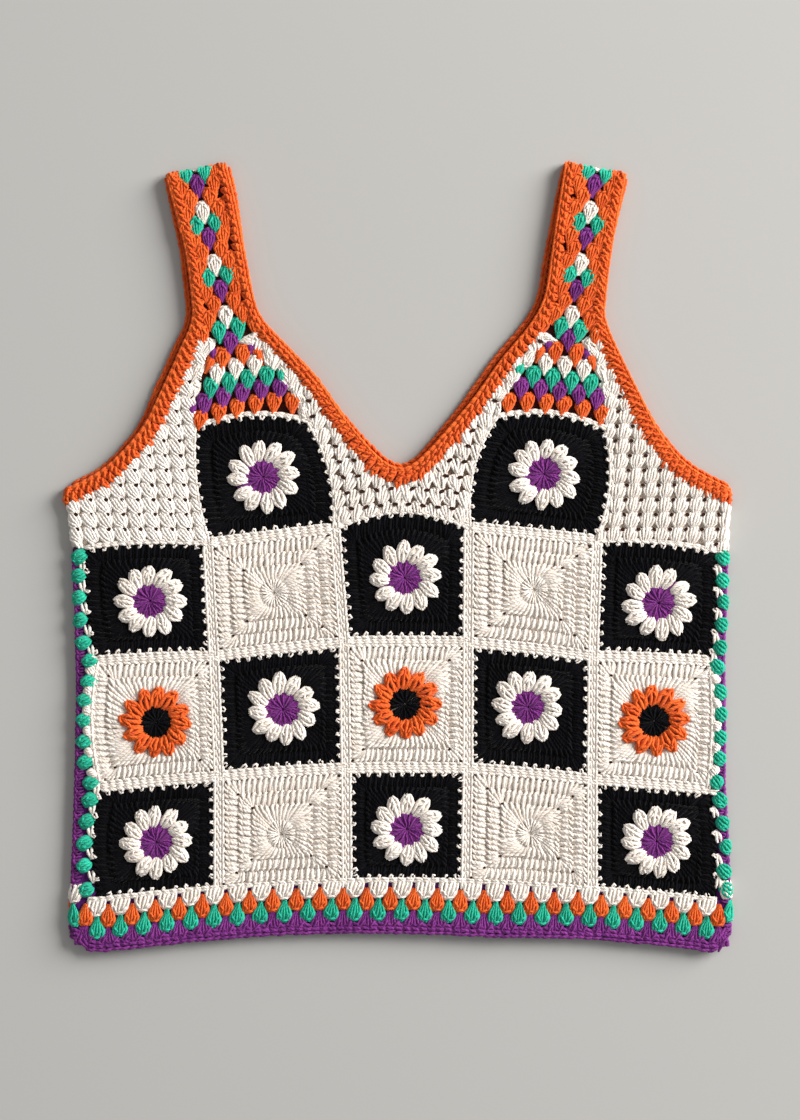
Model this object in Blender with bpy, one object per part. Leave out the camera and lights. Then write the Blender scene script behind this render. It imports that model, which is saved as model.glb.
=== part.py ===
"""Crocheted cotton vest laid flat, front side up.

X runs across the chest, Y runs from the hem to the shoulders and Z is up. The origin is at the
bottom centre of the laid garment. The vest is two layers of crochet: a back wall that lies on the
surface and a front wall over it. The side bands, the hem, the straps and the three edgings are
worked round from one layer into the other, so each of them is one wall that folds at its end.
Tables give millimetres. Everything else is in metres.
"""
import math

import bpy
import numpy as np
from mathutils import geometry

MM = 0.001
WALL = 3.0 * MM
GAP = 0.3 * MM
SEAM = GAP / 2
Z_BACK = WALL / 2
Z_FRONT = 1.5 * WALL + GAP
Z_FOLD = WALL + GAP / 2
FOLD_RADIUS = (WALL + GAP) / 2

# Soft rise of the front layer over the back one, and how far it fades towards a fold
RISE = 0.6 * MM
RISE_FADE = 45 * MM
SIDE_FOLD_X = 224 * MM
SHOULDER_FOLD_Y = 262 * MM

# Neck rim on the front, from the left shoulder fold to the right one: x, y, width of its edging
NECK_RIM = (
    (-119.5, 270.9, 7.0),
    (-114.1, 249.5, 7.0),
    (-107.4, 214.5, 7.0),
    (-100.4, 179.5, 7.5),
    (-94.5, 165.5, 8.0),
    (-81.5, 151.5, 9.5),
    (-56.3, 124.9, 10.5),
    (-40.2, 101.5, 10.5),
    (-20.6, 77.3, 11.0),
    (-7.0, 64.9, 11.5),
    (3.1, 61.9, 12.0),
    (13.0, 66.5, 11.5),
    (28.3, 81.5, 10.5),
    (53.5, 111.3, 10.0),
    (72.4, 137.5, 9.5),
    (92.8, 162.0, 8.5),
    (103.2, 181.5, 7.5),
    (108.5, 214.5, 7.0),
    (113.7, 249.5, 7.0),
    (117.4, 273.0, 7.0),
)

# Armhole rims on the front, from the shoulder fold to the fold under the arm: x, y, edging width
LEFT_ARMHOLE_RIM = (
    (-160.9, 264.2, 7.0),
    (-157.0, 249.5, 7.0),
    (-148.0, 214.5, 7.0),
    (-143.3, 179.5, 7.5),
    (-143.5, 164.0, 8.0),
    (-152.2, 144.5, 10.0),
    (-168.3, 109.5, 10.5),
    (-177.1, 92.0, 10.5),
    (-190.8, 75.2, 10.5),
    (-205.4, 61.6, 10.5),
    (-220.1, 52.8, 10.0),
    (-231.3, 48.0, 10.0),
)
RIGHT_ARMHOLE_RIM = (
    (158.8, 263.4, 7.0),
    (155.8, 249.5, 7.0),
    (149.4, 214.5, 7.0),
    (145.2, 179.5, 7.5),
    (145.2, 165.5, 8.0),
    (154.0, 144.5, 9.5),
    (171.5, 109.5, 10.5),
    (180.2, 92.0, 10.5),
    (192.5, 74.5, 10.5),
    (203.0, 64.0, 10.5),
    (217.0, 55.3, 10.0),
    (231.3, 48.4, 10.0),
)

# Rows of corners where the squares meet, from the chest down to the hem: x, y
SQUARE_ROWS = (
    ((-219.4, 6.6), (-132.7, 9.4), (-43.8, 19.9), (50.0, 20.6), (139.6, 11.5), (223.0, 4.6)),
    ((-211.8, -73.1), (-128.4, -69.6), (-37.4, -59.8), (49.3, -59.8), (136.8, -69.6), (220.2, -73.1)),
    ((-209.6, -161.3), (-124.9, -153.6), (-36.0, -148.0), (49.3, -148.0), (136.1, -155.8), (218.8, -162.8)),
    ((-209.6, -240.4), (-124.9, -232.0), (-35.3, -227.1), (47.9, -227.1), (136.1, -232.7), (223.0, -240.4)),
)

# Upper corners of the two squares that reach the straps: left x, y, then right x, y
LEFT_CUP_CORNERS = ((-142.5, 90.6), (-62.6, 95.5))
RIGHT_CUP_CORNERS = ((68.9, 98.3), (146.2, 89.9))

# How far an edge between squares bows, up or out to the side, at its middle
CHEST_BOWS = (2.8, 0.0, 11.9, 0.0, 2.8)
LOWER_BOW = 0.6
CUP_TOP_BOW = 7.2
LEFT_CUP_BOWS = (4.2, 7.0)
RIGHT_CUP_BOWS = (7.7, 7.0)
LEFT_SIDE_BOWS = (3.0, 5.5, 5.0)
RIGHT_SIDE_BOWS = (2.6, 2.6, 3.0)

# Sides of the coloured triangle above each upper square, from its foot up: x, y
LEFT_CUP_OUTER = ((-141.5, 109.5), (-138.4, 123.5), (-135.4, 137.5), (-130.5, 150.5))
LEFT_CUP_INNER = ((-68.2, 109.5), (-79.4, 123.5), (-92.0, 137.5), (-104.0, 150.5))
RIGHT_CUP_INNER = ((73.8, 109.5), (81.5, 123.5), (91.3, 137.5), (105.5, 150.5))
RIGHT_CUP_OUTER = ((147.2, 109.5), (144.5, 123.5), (140.3, 137.5), (132.5, 150.5))

# Outer edges of the body below the armholes: x, y
LEFT_BODY_EDGE = ((-232.0, 38.0), (-229.6, 28.0), (-228.5, 13.6), (-227.8, -2.4), (-226.2, -30.4),
                  (-224.7, -90.0), (-225.6, -142.4), (-227.3, -198.4), (-229.0, -240.4))
RIGHT_BODY_EDGE = ((233.4, 38.0), (231.8, 28.0), (231.3, 4.5), (230.4, -30.4), (229.0, -65.5),
                   (229.6, -114.4), (229.4, -159.9), (231.6, -195.0), (233.4, -240.4))

# Lower edge of the hem: x, y
HEM_EDGE = ((-223.6, -265.0), (-216.6, -275.8), (-194.2, -274.8), (-138.2, -268.8), (-68.2, -264.2),
            (1.8, -263.6), (71.8, -266.0), (134.8, -267.8), (197.8, -273.3), (223.5, -275.9),
            (231.0, -262.0))

# Flower of a square: radii of its centre, of the crest and of the tips of its petals
PETALS = 12
CENTRE_RADIUS = 10.5 * MM
CREST_RADIUS = 18.5 * MM
TIP_RADIUS = 26.0 * MM
CENTRE_RISE = 0.9 * MM
CREST_RISE = 2.0 * MM
VALLEY_RISE = 0.5 * MM
ROUND_RISE = 0.5 * MM

# Kinds of squares, row by row from the top
FRONT_SQUARES = (
    (1, 2, "black"), (1, 4, "black"),
    (2, 1, "black"), (2, 2, "plain"), (2, 3, "black"), (2, 4, "plain"), (2, 5, "black"),
    (3, 1, "flower"), (3, 2, "black"), (3, 3, "flower"), (3, 4, "black"), (3, 5, "flower"),
    (4, 1, "black"), (4, 2, "plain"), (4, 3, "black"), (4, 4, "plain"), (4, 5, "black"),
)

# Where the corners of an edge's pieces fall, seen at 15 degree steps from the square's centre
EDGE_STEPS = [0.5 + 0.5 * math.tan(math.radians(step)) for step in range(-45, 60, 15)]

STRAP_SPLIT_Y = 157.0 * MM
STRAP_ROWS = 8
NECK_STATIONS = 26
ARMHOLE_STATIONS = 13
FOLD_STEPS = (0.25, 0.5, 0.75)
SIDE_BAND_BACK = 10 * MM
BACK_SHIFT = 3.0 * MM

# Share of the hem's height and relief of each of its rows: the second and third rows are clusters
HEM_ROWS = (0.0, 0.22, 0.42, 0.62, 0.86, 1.0)
CLUSTER_RISE = 1.2 * MM
CHAIN_RISE = 0.6 * MM

# Share of an edging's width and relief of each of its lines: the chain rim and the row inside it
EDGING_LINES = ((0.0, 0.0), (0.2, 0.7), (0.42, 0.1), (0.75, 0.5), (1.0, 0.1))

# Linear base colour and roughness of each yarn
YARNS = {
    "cream": ((0.80, 0.73, 0.64, 1.0), 0.92),
    "black": ((0.006, 0.006, 0.009, 1.0), 0.90),
    "orange": ((0.80, 0.12, 0.012, 1.0), 0.90),
    "purple": ((0.16, 0.025, 0.26, 1.0), 0.90),
    "teal": ((0.012, 0.38, 0.23, 1.0), 0.90),
}


def clear_scene():
    """Remove every object of the scene."""
    for item in list(bpy.data.objects):
        bpy.data.objects.remove(item, do_unlink=True)


def new_collection(name):
    """Make a collection in the scene."""
    collection = bpy.data.collections.new(name)
    bpy.context.scene.collection.children.link(collection)
    return collection


def yarn_material(name, yarn):
    """Make the material of one piece."""
    color, roughness = YARNS[yarn]
    material = bpy.data.materials.new(name + "_yarn")
    material.use_nodes = True
    shader = material.node_tree.nodes["Principled BSDF"]
    shader.inputs["Base Color"].default_value = color
    shader.inputs["Roughness"].default_value = roughness
    shader.inputs["Metallic"].default_value = 0.0
    return material


def add_piece(collection, name, yarn, vertices, faces):
    """Add one closed wall as an object with its own material."""
    mesh = bpy.data.meshes.new(name)
    mesh.from_pydata([tuple(v) for v in vertices], [], faces)
    mesh.materials.append(yarn_material(name, yarn))
    mesh.shade_smooth()
    mesh.set_sharp_from_angle(angle=math.radians(40))
    piece = bpy.data.objects.new(name, mesh)
    collection.objects.link(piece)
    return piece


def smooth_curve(table, per_span=16):
    """Points of a smooth curve through the rows of a table, with every column carried along."""
    rows = np.array(table, dtype=float) * MM
    padded = np.vstack([2 * rows[0] - rows[1], rows, 2 * rows[-1] - rows[-2]])
    points = []
    for k in range(1, len(padded) - 2):
        p0, p1, p2, p3 = padded[k - 1:k + 3]
        for t in np.arange(per_span) / per_span:
            points.append(0.5 * (2 * p1 + (p2 - p0) * t + (2 * p0 - 5 * p1 + 4 * p2 - p3) * t ** 2
                                 + (3 * p1 - p0 - 3 * p2 + p3) * t ** 3))
    points.append(padded[-2])
    return np.array(points)


def run_lengths(points):
    """Distance along a line of points."""
    steps = np.linalg.norm(np.diff(points[:, :2], axis=0), axis=1)
    return np.concatenate([[0.0], np.cumsum(steps)])


def spread(points, count):
    """The same line with evenly spaced points."""
    along = run_lengths(points)
    wanted = np.linspace(0.0, along[-1], count)
    return np.stack([np.interp(wanted, along, points[:, c]) for c in range(points.shape[1])], axis=1)


def across(points, sign):
    """Unit directions square to a line of points, on its left side or, with sign -1, its right."""
    tangent = np.gradient(points[:, :2], axis=0)
    tangent /= np.linalg.norm(tangent, axis=1)[:, None]
    return sign * np.stack([-tangent[:, 1], tangent[:, 0]], axis=1)


def at_level(line, y):
    """Point where a line that climbs steadily reaches the height y."""
    order = np.argsort(line[:, 1])
    return np.array([np.interp(y, line[order, 1], line[order, 0]), y])


def rise(x, y):
    """Height that the front layer gains over the back one, nothing at the folds."""
    side = np.clip((SIDE_FOLD_X - np.abs(x)) / RISE_FADE, 0.0, 1.0)
    shoulder = np.clip((SHOULDER_FOLD_Y - y) / RISE_FADE, 0.0, 1.0)
    fade = side ** 2 * (3 - 2 * side) * shoulder ** 2 * (3 - 2 * shoulder)
    wave = np.sin(x / (37 * MM) + 0.6) * np.cos(y / (45 * MM) - 0.4)
    return RISE * (1 + wave) * fade


def back_offset(y):
    """Sideways shift of the back layer's straps and armholes against the front ones."""
    top = np.clip((SHOULDER_FOLD_Y - y) / (60 * MM), 0.0, 1.0)
    foot = np.clip((y - 70 * MM) / (50 * MM), 0.0, 1.0)
    return -BACK_SHIFT * top * foot


def front_points(points):
    """Middle of the front wall over points of the plan, with upward normals."""
    points = np.asarray(points)
    z = Z_FRONT + rise(points[:, 0], points[:, 1])
    middle = np.column_stack([points[:, 0], points[:, 1], z])
    return middle, np.tile([0.0, 0.0, 1.0], (len(points), 1))


def back_points(points, shifted=False):
    """Middle of the back wall under points of the plan, with downward normals."""
    points = np.asarray(points)
    x = points[:, 0] + (back_offset(points[:, 1]) if shifted else 0.0)
    middle = np.column_stack([x, points[:, 1], np.full(len(points), Z_BACK)])
    return middle, np.tile([0.0, 0.0, -1.0], (len(points), 1))


def fold_points(points, outward, share):
    """One line of a fold that turns from the front wall into the back one."""
    points = np.asarray(points)
    angle = math.pi * share
    reach = FOLD_RADIUS * math.sin(angle)
    middle = np.column_stack([points + reach * np.asarray(outward),
                              np.full(len(points), Z_FOLD + FOLD_RADIUS * math.cos(angle))])
    flat = math.sin(angle) * np.asarray(outward)
    normal = np.tile([flat[0], flat[1], math.cos(angle)], (len(points), 1))
    return middle, normal


def wall_from_rows(collection, name, yarn, rows, relief, closed=False):
    """Closed wall around a grid of middle points: rows of (points, normals), relief on its outside."""
    middle = np.array([row[0] for row in rows])
    normal = np.array([row[1] for row in rows])
    count, width = middle.shape[:2]
    outer = middle + normal * (WALL / 2 + relief)[:, :, None]
    inner = middle - normal * (WALL / 2)
    vertices = np.concatenate([outer.reshape(-1, 3), inner.reshape(-1, 3)])
    half = count * width
    faces = []
    for i in range(count if closed else count - 1):
        n = (i + 1) % count
        for j in range(width - 1):
            a, b, c, d = i * width + j, i * width + j + 1, n * width + j + 1, n * width + j
            faces.append((a, b, c, d))
            faces.append((half + d, half + c, half + b, half + a))
        first, last = i * width, i * width + width - 1
        next_first, next_last = n * width, n * width + width - 1
        faces.append((first, next_first, half + next_first, half + first))
        faces.append((next_last, last, half + last, half + next_last))
    if not closed:
        end = (count - 1) * width
        for j in range(width - 1):
            faces.append((j + 1, j, half + j, half + j + 1))
            faces.append((end + j, end + j + 1, half + end + j + 1, half + end + j))
    return add_piece(collection, name, yarn, vertices, faces_out(vertices, faces))


def faces_out(vertices, faces):
    """Turn all faces round if the wall they close is inside out."""
    volume = 0.0
    for face in faces:
        for k in range(1, len(face) - 1):
            a, b, c = vertices[face[0]], vertices[face[k]], vertices[face[k + 1]]
            volume += np.dot(a, np.cross(b, c))
    if volume < 0:
        return [tuple(reversed(face)) for face in faces]
    return faces


def inset(outline, distance):
    """Move every point of a closed outline, taken anticlockwise, towards its inside."""
    before = outline - np.roll(outline, 1, axis=0)
    after = np.roll(outline, -1, axis=0) - outline
    before /= np.linalg.norm(before, axis=1)[:, None]
    after /= np.linalg.norm(after, axis=1)[:, None]
    inward_before = np.stack([-before[:, 1], before[:, 0]], axis=1)
    inward_after = np.stack([-after[:, 1], after[:, 0]], axis=1)
    middle = inward_before + inward_after
    scale = 1 + np.sum(inward_before * inward_after, axis=1)
    return outline + distance * middle / np.maximum(scale, 0.5)[:, None]


def triangles_inside(outline, inside):
    """Triangles over an outline and the points inside it, as indices into both."""
    points = np.vstack([outline, inside]) / MM if len(inside) else outline / MM
    ring = list(range(len(outline)))
    found = geometry.delaunay_2d_cdt([tuple(p) for p in points], [], [ring], 1, 1e-5)
    origin = [ids[0] for ids in found[3]]
    return [tuple(origin[v] for v in face) for face in found[2]]


def wall_from_outline(collection, name, yarn, outline, inside=(), relief=(), front=True):
    """Closed wall over an outline. The points inside it carry the relief of its upper face."""
    outline = inset(np.asarray(outline), SEAM)
    inside = np.asarray(inside).reshape(-1, 2)
    plan = np.vstack([outline, inside])
    middle = (front_points if front else back_points)(plan)[0]
    raised = np.concatenate([np.zeros(len(outline)), np.asarray(relief, dtype=float)])
    upper = middle + np.outer(WALL / 2 + raised, [0.0, 0.0, 1.0])
    lower = middle[:len(outline)] - [0.0, 0.0, WALL / 2]
    total = len(plan)
    faces = triangles_inside(outline, inside)
    faces += [tuple(total + v for v in reversed(face)) for face in triangles_inside(outline, inside[:0])]
    for k in range(len(outline)):
        n = (k + 1) % len(outline)
        faces.append((n, k, total + k, total + n))
    vertices = np.vstack([upper, lower])
    return add_piece(collection, name, yarn, vertices, faces_out(vertices, faces))


def bowed_edge(start, end, bow):
    """Points of an edge between two corners that bows to its left side by the given millimetres."""
    start = np.array(start) * MM
    end = np.array(end) * MM
    run = end - start
    left = np.array([-run[1], run[0]]) / np.linalg.norm(run)
    return np.array([start + run * t + left * bow * MM * 4 * t * (1 - t) for t in EDGE_STEPS])


def square_edges(row, column):
    """Lower, right, upper and left edge of a square, each from left to right or from top to bottom."""
    if row == 1:
        top = LEFT_CUP_CORNERS if column == 2 else RIGHT_CUP_CORNERS
        left_bow, right_bow = LEFT_CUP_BOWS if column == 2 else RIGHT_CUP_BOWS
        bottom = SQUARE_ROWS[0][column - 1:column + 1]
        lower = bowed_edge(*bottom, CHEST_BOWS[column - 1])
        upper = bowed_edge(*top, CUP_TOP_BOW)
        right = bowed_edge(top[1], bottom[1], right_bow)
        return lower, right, upper, bowed_edge(top[0], bottom[0], -left_bow)
    top = SQUARE_ROWS[row - 2][column - 1:column + 1]
    bottom = SQUARE_ROWS[row - 1][column - 1:column + 1]
    upper = bowed_edge(*top, CHEST_BOWS[column - 1] if row == 2 else LOWER_BOW)
    lower = bowed_edge(*bottom, LOWER_BOW)
    left_bow = LEFT_SIDE_BOWS[row - 2] if column == 1 else 0.0
    right_bow = RIGHT_SIDE_BOWS[row - 2] if column == 5 else 0.0
    return lower, bowed_edge(top[1], bottom[1], right_bow), upper, bowed_edge(top[0], bottom[0], -left_bow)


def square_outline(row, column):
    """Outline of a square, anticlockwise from its lower left corner."""
    lower, right, upper, left = square_edges(row, column)
    return np.vstack([lower[:-1], right[::-1][:-1], upper[::-1][:-1], left[:-1]])


def square_piece(collection, row, column, kind):
    """One square: a raised flower on its ground, or plain rounds."""
    outline = square_outline(row, column)
    centre = (outline[3] + outline[9] + outline[15] + outline[21]) / 4
    angles = [math.radians(225 + 15 * k) for k in range(2 * PETALS)]
    inside = [centre]
    relief = [CENTRE_RISE if kind != "plain" else ROUND_RISE]
    if kind == "plain":
        for share, height in ((0.36, 0.0), (0.66, ROUND_RISE)):
            for k in range(0, len(outline), 2):
                inside.append(centre + (outline[k] - centre) * share)
                relief.append(height)
    else:
        for radius, crest, valley in ((CENTRE_RADIUS, CENTRE_RISE, VALLEY_RISE),
                                      (CREST_RADIUS, CREST_RISE, VALLEY_RISE),
                                      (TIP_RADIUS, VALLEY_RISE, 0.0)):
            for k, angle in enumerate(angles):
                inside.append(centre + radius * np.array([math.cos(angle), math.sin(angle)]))
                relief.append(crest if k % 2 else valley)
    name = "square_r%dc%d" % (row, column)
    yarn = "black" if kind == "black" else "cream"
    return wall_from_outline(collection, name, yarn, outline, inside, relief)


class Edging:
    """Stations of an edging on the front: the rim and the line where it joins the cloth."""

    def __init__(self, table, cloth_side):
        curve = smooth_curve(table)
        self.rim = curve[:, :2]
        self.join = curve[:, :2] + curve[:, 2:3] * across(curve, cloth_side)

    def strap(self, from_end):
        """Rim and joining points at the strap's rows, from the fold down to where the strap ends."""
        half = len(self.rim) // 2
        part = slice(half, None) if from_end else slice(0, half)
        top_rim, top_join = (line[-1 if from_end else 0, 1] for line in (self.rim, self.join))
        rows = []
        for k in range(STRAP_ROWS + 1):
            share = k / STRAP_ROWS
            rows.append((at_level(self.rim[part], top_rim + (STRAP_SPLIT_Y - top_rim) * share),
                         at_level(self.join[part], top_join + (STRAP_SPLIT_Y - top_join) * share)))
        return rows

    def below(self, start, end, count):
        """Rim and joining points between two strap ends, or from a strap end to the edging's own end."""
        found = []
        for line, k in ((self.rim, 0), (self.join, 1)):
            first = int(np.argmin(np.linalg.norm(line - start[k], axis=1)))
            last = len(line) - 1 if end is None else int(np.argmin(np.linalg.norm(line - end[k], axis=1)))
            ends = [start[k][None], line[first + 1:last]]
            ends.append(line[last][None] if end is None else end[k][None])
            found.append(spread(np.vstack(ends), count + 1))
        return list(zip(found[0], found[1]))[1:]


def shoulder_direction(side):
    """Direction in which a strap runs into its shoulder fold: side is -1 on the left, 1 on the right."""
    return np.array([side * 0.19, math.sqrt(1 - 0.19 ** 2)])


def lay_out():
    """Stations of the straps and edgings that neighbouring pieces share."""
    neck = Edging(NECK_RIM, -1)
    left_arm = Edging(LEFT_ARMHOLE_RIM, 1)
    right_arm = Edging(RIGHT_ARMHOLE_RIM, -1)
    plan = {}
    plan["neck_left"] = neck.strap(False)
    plan["neck_right"] = neck.strap(True)
    plan["arm_left"] = left_arm.strap(False)
    plan["arm_right"] = right_arm.strap(False)
    plan["v"] = neck.below(plan["neck_left"][-1], plan["neck_right"][-1], NECK_STATIONS)
    plan["scye_left"] = left_arm.below(plan["arm_left"][-1], None, ARMHOLE_STATIONS)
    plan["scye_right"] = right_arm.below(plan["arm_right"][-1], None, ARMHOLE_STATIONS)
    return plan


def edging_rows(stations, make, relief_on, **options):
    """Rows of an edging across its width, one for each station."""
    rows = []
    for rim, join in stations:
        reach = join - rim
        length = np.linalg.norm(reach)
        line = [rim + reach * share * (length - SEAM) / length for share, _ in EDGING_LINES]
        rows.append(make(line, **options))
    lift = [height * MM if relief_on else 0.0 for _, height in EDGING_LINES]
    return rows, [lift] * len(rows)


def fold_rows(station, outward):
    """Rows of an edging round a fold."""
    rows = []
    rim, join = station
    reach = join - rim
    length = np.linalg.norm(reach)
    line = [rim + reach * share * (length - SEAM) / length for share, _ in EDGING_LINES]
    for share in FOLD_STEPS:
        rows.append(fold_points(line, outward, share))
    return rows, [[0.0] * len(EDGING_LINES)] * len(rows)


def edging_piece(collection, name, stations, start_fold, end_fold):
    """Edging worked round an opening: its front run, a fold, its back run and a second fold."""
    parts = [
        edging_rows(stations, front_points, True),
        fold_rows(stations[-1], end_fold),
        edging_rows(stations[::-1], back_points, False, shifted=True),
        tuple(part[::-1] for part in fold_rows(stations[0], start_fold)),
    ]
    rows = [row for part in parts for row in part[0]]
    relief = np.array([lift for part in parts for lift in part[1]])
    return wall_from_rows(collection, name, "orange", rows, relief, closed=True)


def strap_line(left, right):
    """Points across a strap or its triangle, at the same shares as the edge of the square below."""
    return np.array([left + (right - left) * share for share in EDGE_STEPS])


def strap_piece(collection, name, cup_edge, cup_left, cup_right, left_side, right_side, outward):
    """Strap with the triangle at its foot: up the front, over the shoulder and down the back."""
    nudge = np.array([SEAM * 1.3, 0.0])
    base = cup_edge + [0.0, SEAM * 1.1]
    base[0] += nudge * 1.5
    base[-1] -= nudge * 1.5
    rows = [front_points(base)]
    for k, (left, right) in enumerate(zip(cup_left, cup_right)):
        flat = strap_line(np.array(left) * MM + nudge, np.array(right) * MM - nudge)
        bow = (base[:, 1] - base[0, 1] - (base[-1, 1] - base[0, 1]) * np.array(EDGE_STEPS))
        flat[:, 1] += bow * (1 - (k + 1) / len(cup_left))
        rows.append(front_points(flat))
    lines = [strap_line(left[1] + nudge, right[1] - nudge) for left, right in zip(left_side, right_side)]
    rows += [front_points(line) for line in lines[::-1]]
    front_count = len(rows)
    rows += [fold_points(lines[0], outward, share) for share in FOLD_STEPS]
    rows += [back_points(line, shifted=True) for line in lines]
    relief = np.zeros((len(rows), len(EDGE_STEPS)))
    for i in range(1, front_count):
        relief[i, 1:-1] = 0.3 * MM
        relief[i, 2:-2] = (1.0 if i % 2 else 0.4) * MM
    return wall_from_rows(collection, name, "orange", rows, relief)


def side_band_piece(collection, name, edge_table, side, seam_line):
    """Side band: a short run on the front, the fold and a run on the back."""
    edge = np.array(edge_table) * MM
    seam_line = seam_line.copy()
    seam_line[0, 1] -= SEAM * 1.2
    seam_line[-1, 1] += SEAM * 1.2
    rows = []
    relief = []
    for x, y in seam_line:
        rim_x = np.interp(y, edge[::-1, 1], edge[::-1, 0]) - side * (FOLD_RADIUS + WALL / 2)
        front_x = x + side * SEAM * 1.2
        back_x = side_band_end(side, y)
        front = front_points([(front_x, y), ((front_x + rim_x) / 2, y), (rim_x, y)])
        folds = [fold_points([(rim_x, y)], (side, 0.0), share) for share in FOLD_STEPS]
        back = back_points([(rim_x, y), (back_x + side * SEAM * 1.2, y)])
        middle = np.vstack([front[0]] + [fold[0] for fold in folds] + [back[0]])
        normal = np.vstack([front[1]] + [fold[1] for fold in folds] + [back[1]])
        rows.append((middle, normal))
        relief.append([0.2 * MM, 0.8 * MM, 0.4 * MM] + [0.0] * (len(folds) + 2))
    relief[0] = relief[-1] = [0.0] * len(relief[0])
    return wall_from_rows(collection, name, "teal", rows, np.array(relief))


def side_band_end(side, y):
    """Where a side band's back run ends: side is -1 on the left, 1 on the right."""
    edge = np.array(LEFT_BODY_EDGE if side < 0 else RIGHT_BODY_EDGE) * MM
    return np.interp(y, edge[::-1, 1], edge[::-1, 0]) - side * SIDE_BAND_BACK


def side_seam_line(column):
    """Line where the side band meets the three squares of its column, from top to bottom."""
    index = 3 if column == 1 else 1
    edges = [square_edges(row, column)[index] for row in (2, 3, 4)]
    return np.vstack([edges[0][:-1], edges[1][:-1], edges[2]])


def hem_top_line():
    """Upper edge of the hem on the front, halved between the corner points of the squares."""
    edges = [square_edges(4, column)[0] for column in range(1, 6)]
    points = np.vstack([edge[:-1] for edge in edges] + [edges[-1][-1:]])
    halved = np.empty((2 * len(points) - 1, 2))
    halved[::2] = points
    halved[1::2] = (points[:-1] + points[1:]) / 2
    left_x = LEFT_BODY_EDGE[-1][0] * MM + FOLD_RADIUS + WALL / 2
    right_x = RIGHT_BODY_EDGE[-1][0] * MM - FOLD_RADIUS - WALL / 2
    start = np.array([left_x, points[0, 1]])
    end = np.array([right_x, points[-1, 1]])
    return np.vstack([start, halved, end])


def hem_back_stations(count):
    """Stations of the hem's plain back run, from right to left."""
    return list(range(count - 2, 0, -6))


def hem_piece(collection):
    """Hem band worked all round the body, with two rows of raised clusters on the front."""
    top = hem_top_line()
    top[:, 1] -= SEAM * 1.2
    lower = smooth_curve(HEM_EDGE)
    inner = lower[(lower[:, 0] > top[0, 0]) & (lower[:, 0] < top[-1, 0])]
    foot = spread(inner, len(top))
    rows = []
    relief = []

    def line_at(k):
        return [top[k] + (foot[k] - top[k]) * share for share in HEM_ROWS]

    for k in range(len(top)):
        rows.append(front_points(line_at(k)))
        upper = CLUSTER_RISE if k % 2 else 0.3 * MM
        under = 0.3 * MM if k % 2 else CLUSTER_RISE
        relief.append([0.0, 0.2 * MM, upper, under, CHAIN_RISE, 0.0])
    relief[0] = relief[-1] = [0.0] * len(HEM_ROWS)
    rows += [fold_points(line_at(-1), (1.0, 0.0), share) for share in FOLD_STEPS]
    rows += [back_points(line_at(k)) for k in [len(top) - 1] + hem_back_stations(len(top)) + [0]]
    rows += [fold_points(line_at(0), (-1.0, 0.0), share) for share in FOLD_STEPS[::-1]]
    relief += [[0.0] * len(HEM_ROWS)] * (len(rows) - len(relief))
    return wall_from_rows(collection, "hem_band", "purple", rows, np.array(relief), closed=True)


def scatter_inside(outline, step):
    """Points on a grid inside an outline, kept clear of its edge."""
    low = outline.min(axis=0)
    high = outline.max(axis=0)
    closed = np.vstack([outline, outline[:1]])
    found = []
    for y in np.arange(low[1] + step / 2, high[1], step):
        for x in np.arange(low[0] + step / 2, high[0], step):
            crossings = 0
            nearest = 1.0
            for a, b in zip(closed[:-1], closed[1:]):
                if (a[1] > y) != (b[1] > y) and x < a[0] + (y - a[1]) / (b[1] - a[1]) * (b[0] - a[0]):
                    crossings += 1
                run = b - a
                t = np.clip(np.dot([x - a[0], y - a[1]], run) / np.dot(run, run), 0.0, 1.0)
                nearest = min(nearest, math.hypot(x - a[0] - run[0] * t, y - a[1] - run[1] * t))
            if crossings % 2 and nearest > step / 3:
                found.append((x, y))
    return np.array(found)


def yoke_pieces(collection, plan):
    """The three pieces of open cluster stitch round the upper squares."""
    left_cup = np.vstack([[p] for p in LEFT_CUP_OUTER[::-1]]) * MM
    edge = square_edges(1, 2)
    body = np.array(LEFT_BODY_EDGE[:3]) * MM
    scye = np.array([join for _, join in [plan["arm_left"][-1]] + plan["scye_left"]])
    low = square_edges(2, 1)[2]
    corner = [(np.interp(low[0, 1], *side_axis(LEFT_BODY_EDGE)), low[0, 1])]
    left = np.vstack([scye, body[1:], corner, low[:-1], edge[3][::-1], left_cup[::-1]])

    right_cup = np.array(RIGHT_CUP_OUTER) * MM
    edge = square_edges(1, 4)
    body = np.array(RIGHT_BODY_EDGE[:2]) * MM
    scye = np.array([join for _, join in [plan["arm_right"][-1]] + plan["scye_right"]])
    low = square_edges(2, 5)[2]
    corner = [(np.interp(low[-1, 1], *side_axis(RIGHT_BODY_EDGE)), low[-1, 1])]
    right = np.vstack([right_cup[::-1], edge[1], low[1:], corner, body[:0:-1], scye[::-1]])

    neck = np.array([join for _, join in [plan["neck_left"][-1]] + plan["v"]])
    left_inner = np.array(LEFT_CUP_INNER) * MM
    right_inner = np.array(RIGHT_CUP_INNER) * MM
    arch = square_edges(2, 3)[2]
    centre = np.vstack([left_inner[::-1], square_edges(1, 2)[1], arch[1:-1],
                        square_edges(1, 4)[3][::-1], right_inner, neck[::-1]])
    for name, outline in (("yoke_left", left), ("yoke_centre", centre), ("yoke_right", right)):
        inside = scatter_inside(outline, 14 * MM)
        wall_from_outline(collection, name, "cream", outline, inside, np.zeros(len(inside)))


def side_axis(table):
    """Heights and x values of a side edge, rising, for interpolation."""
    edge = np.array(table) * MM
    return edge[::-1, 1], edge[::-1, 0]


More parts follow.
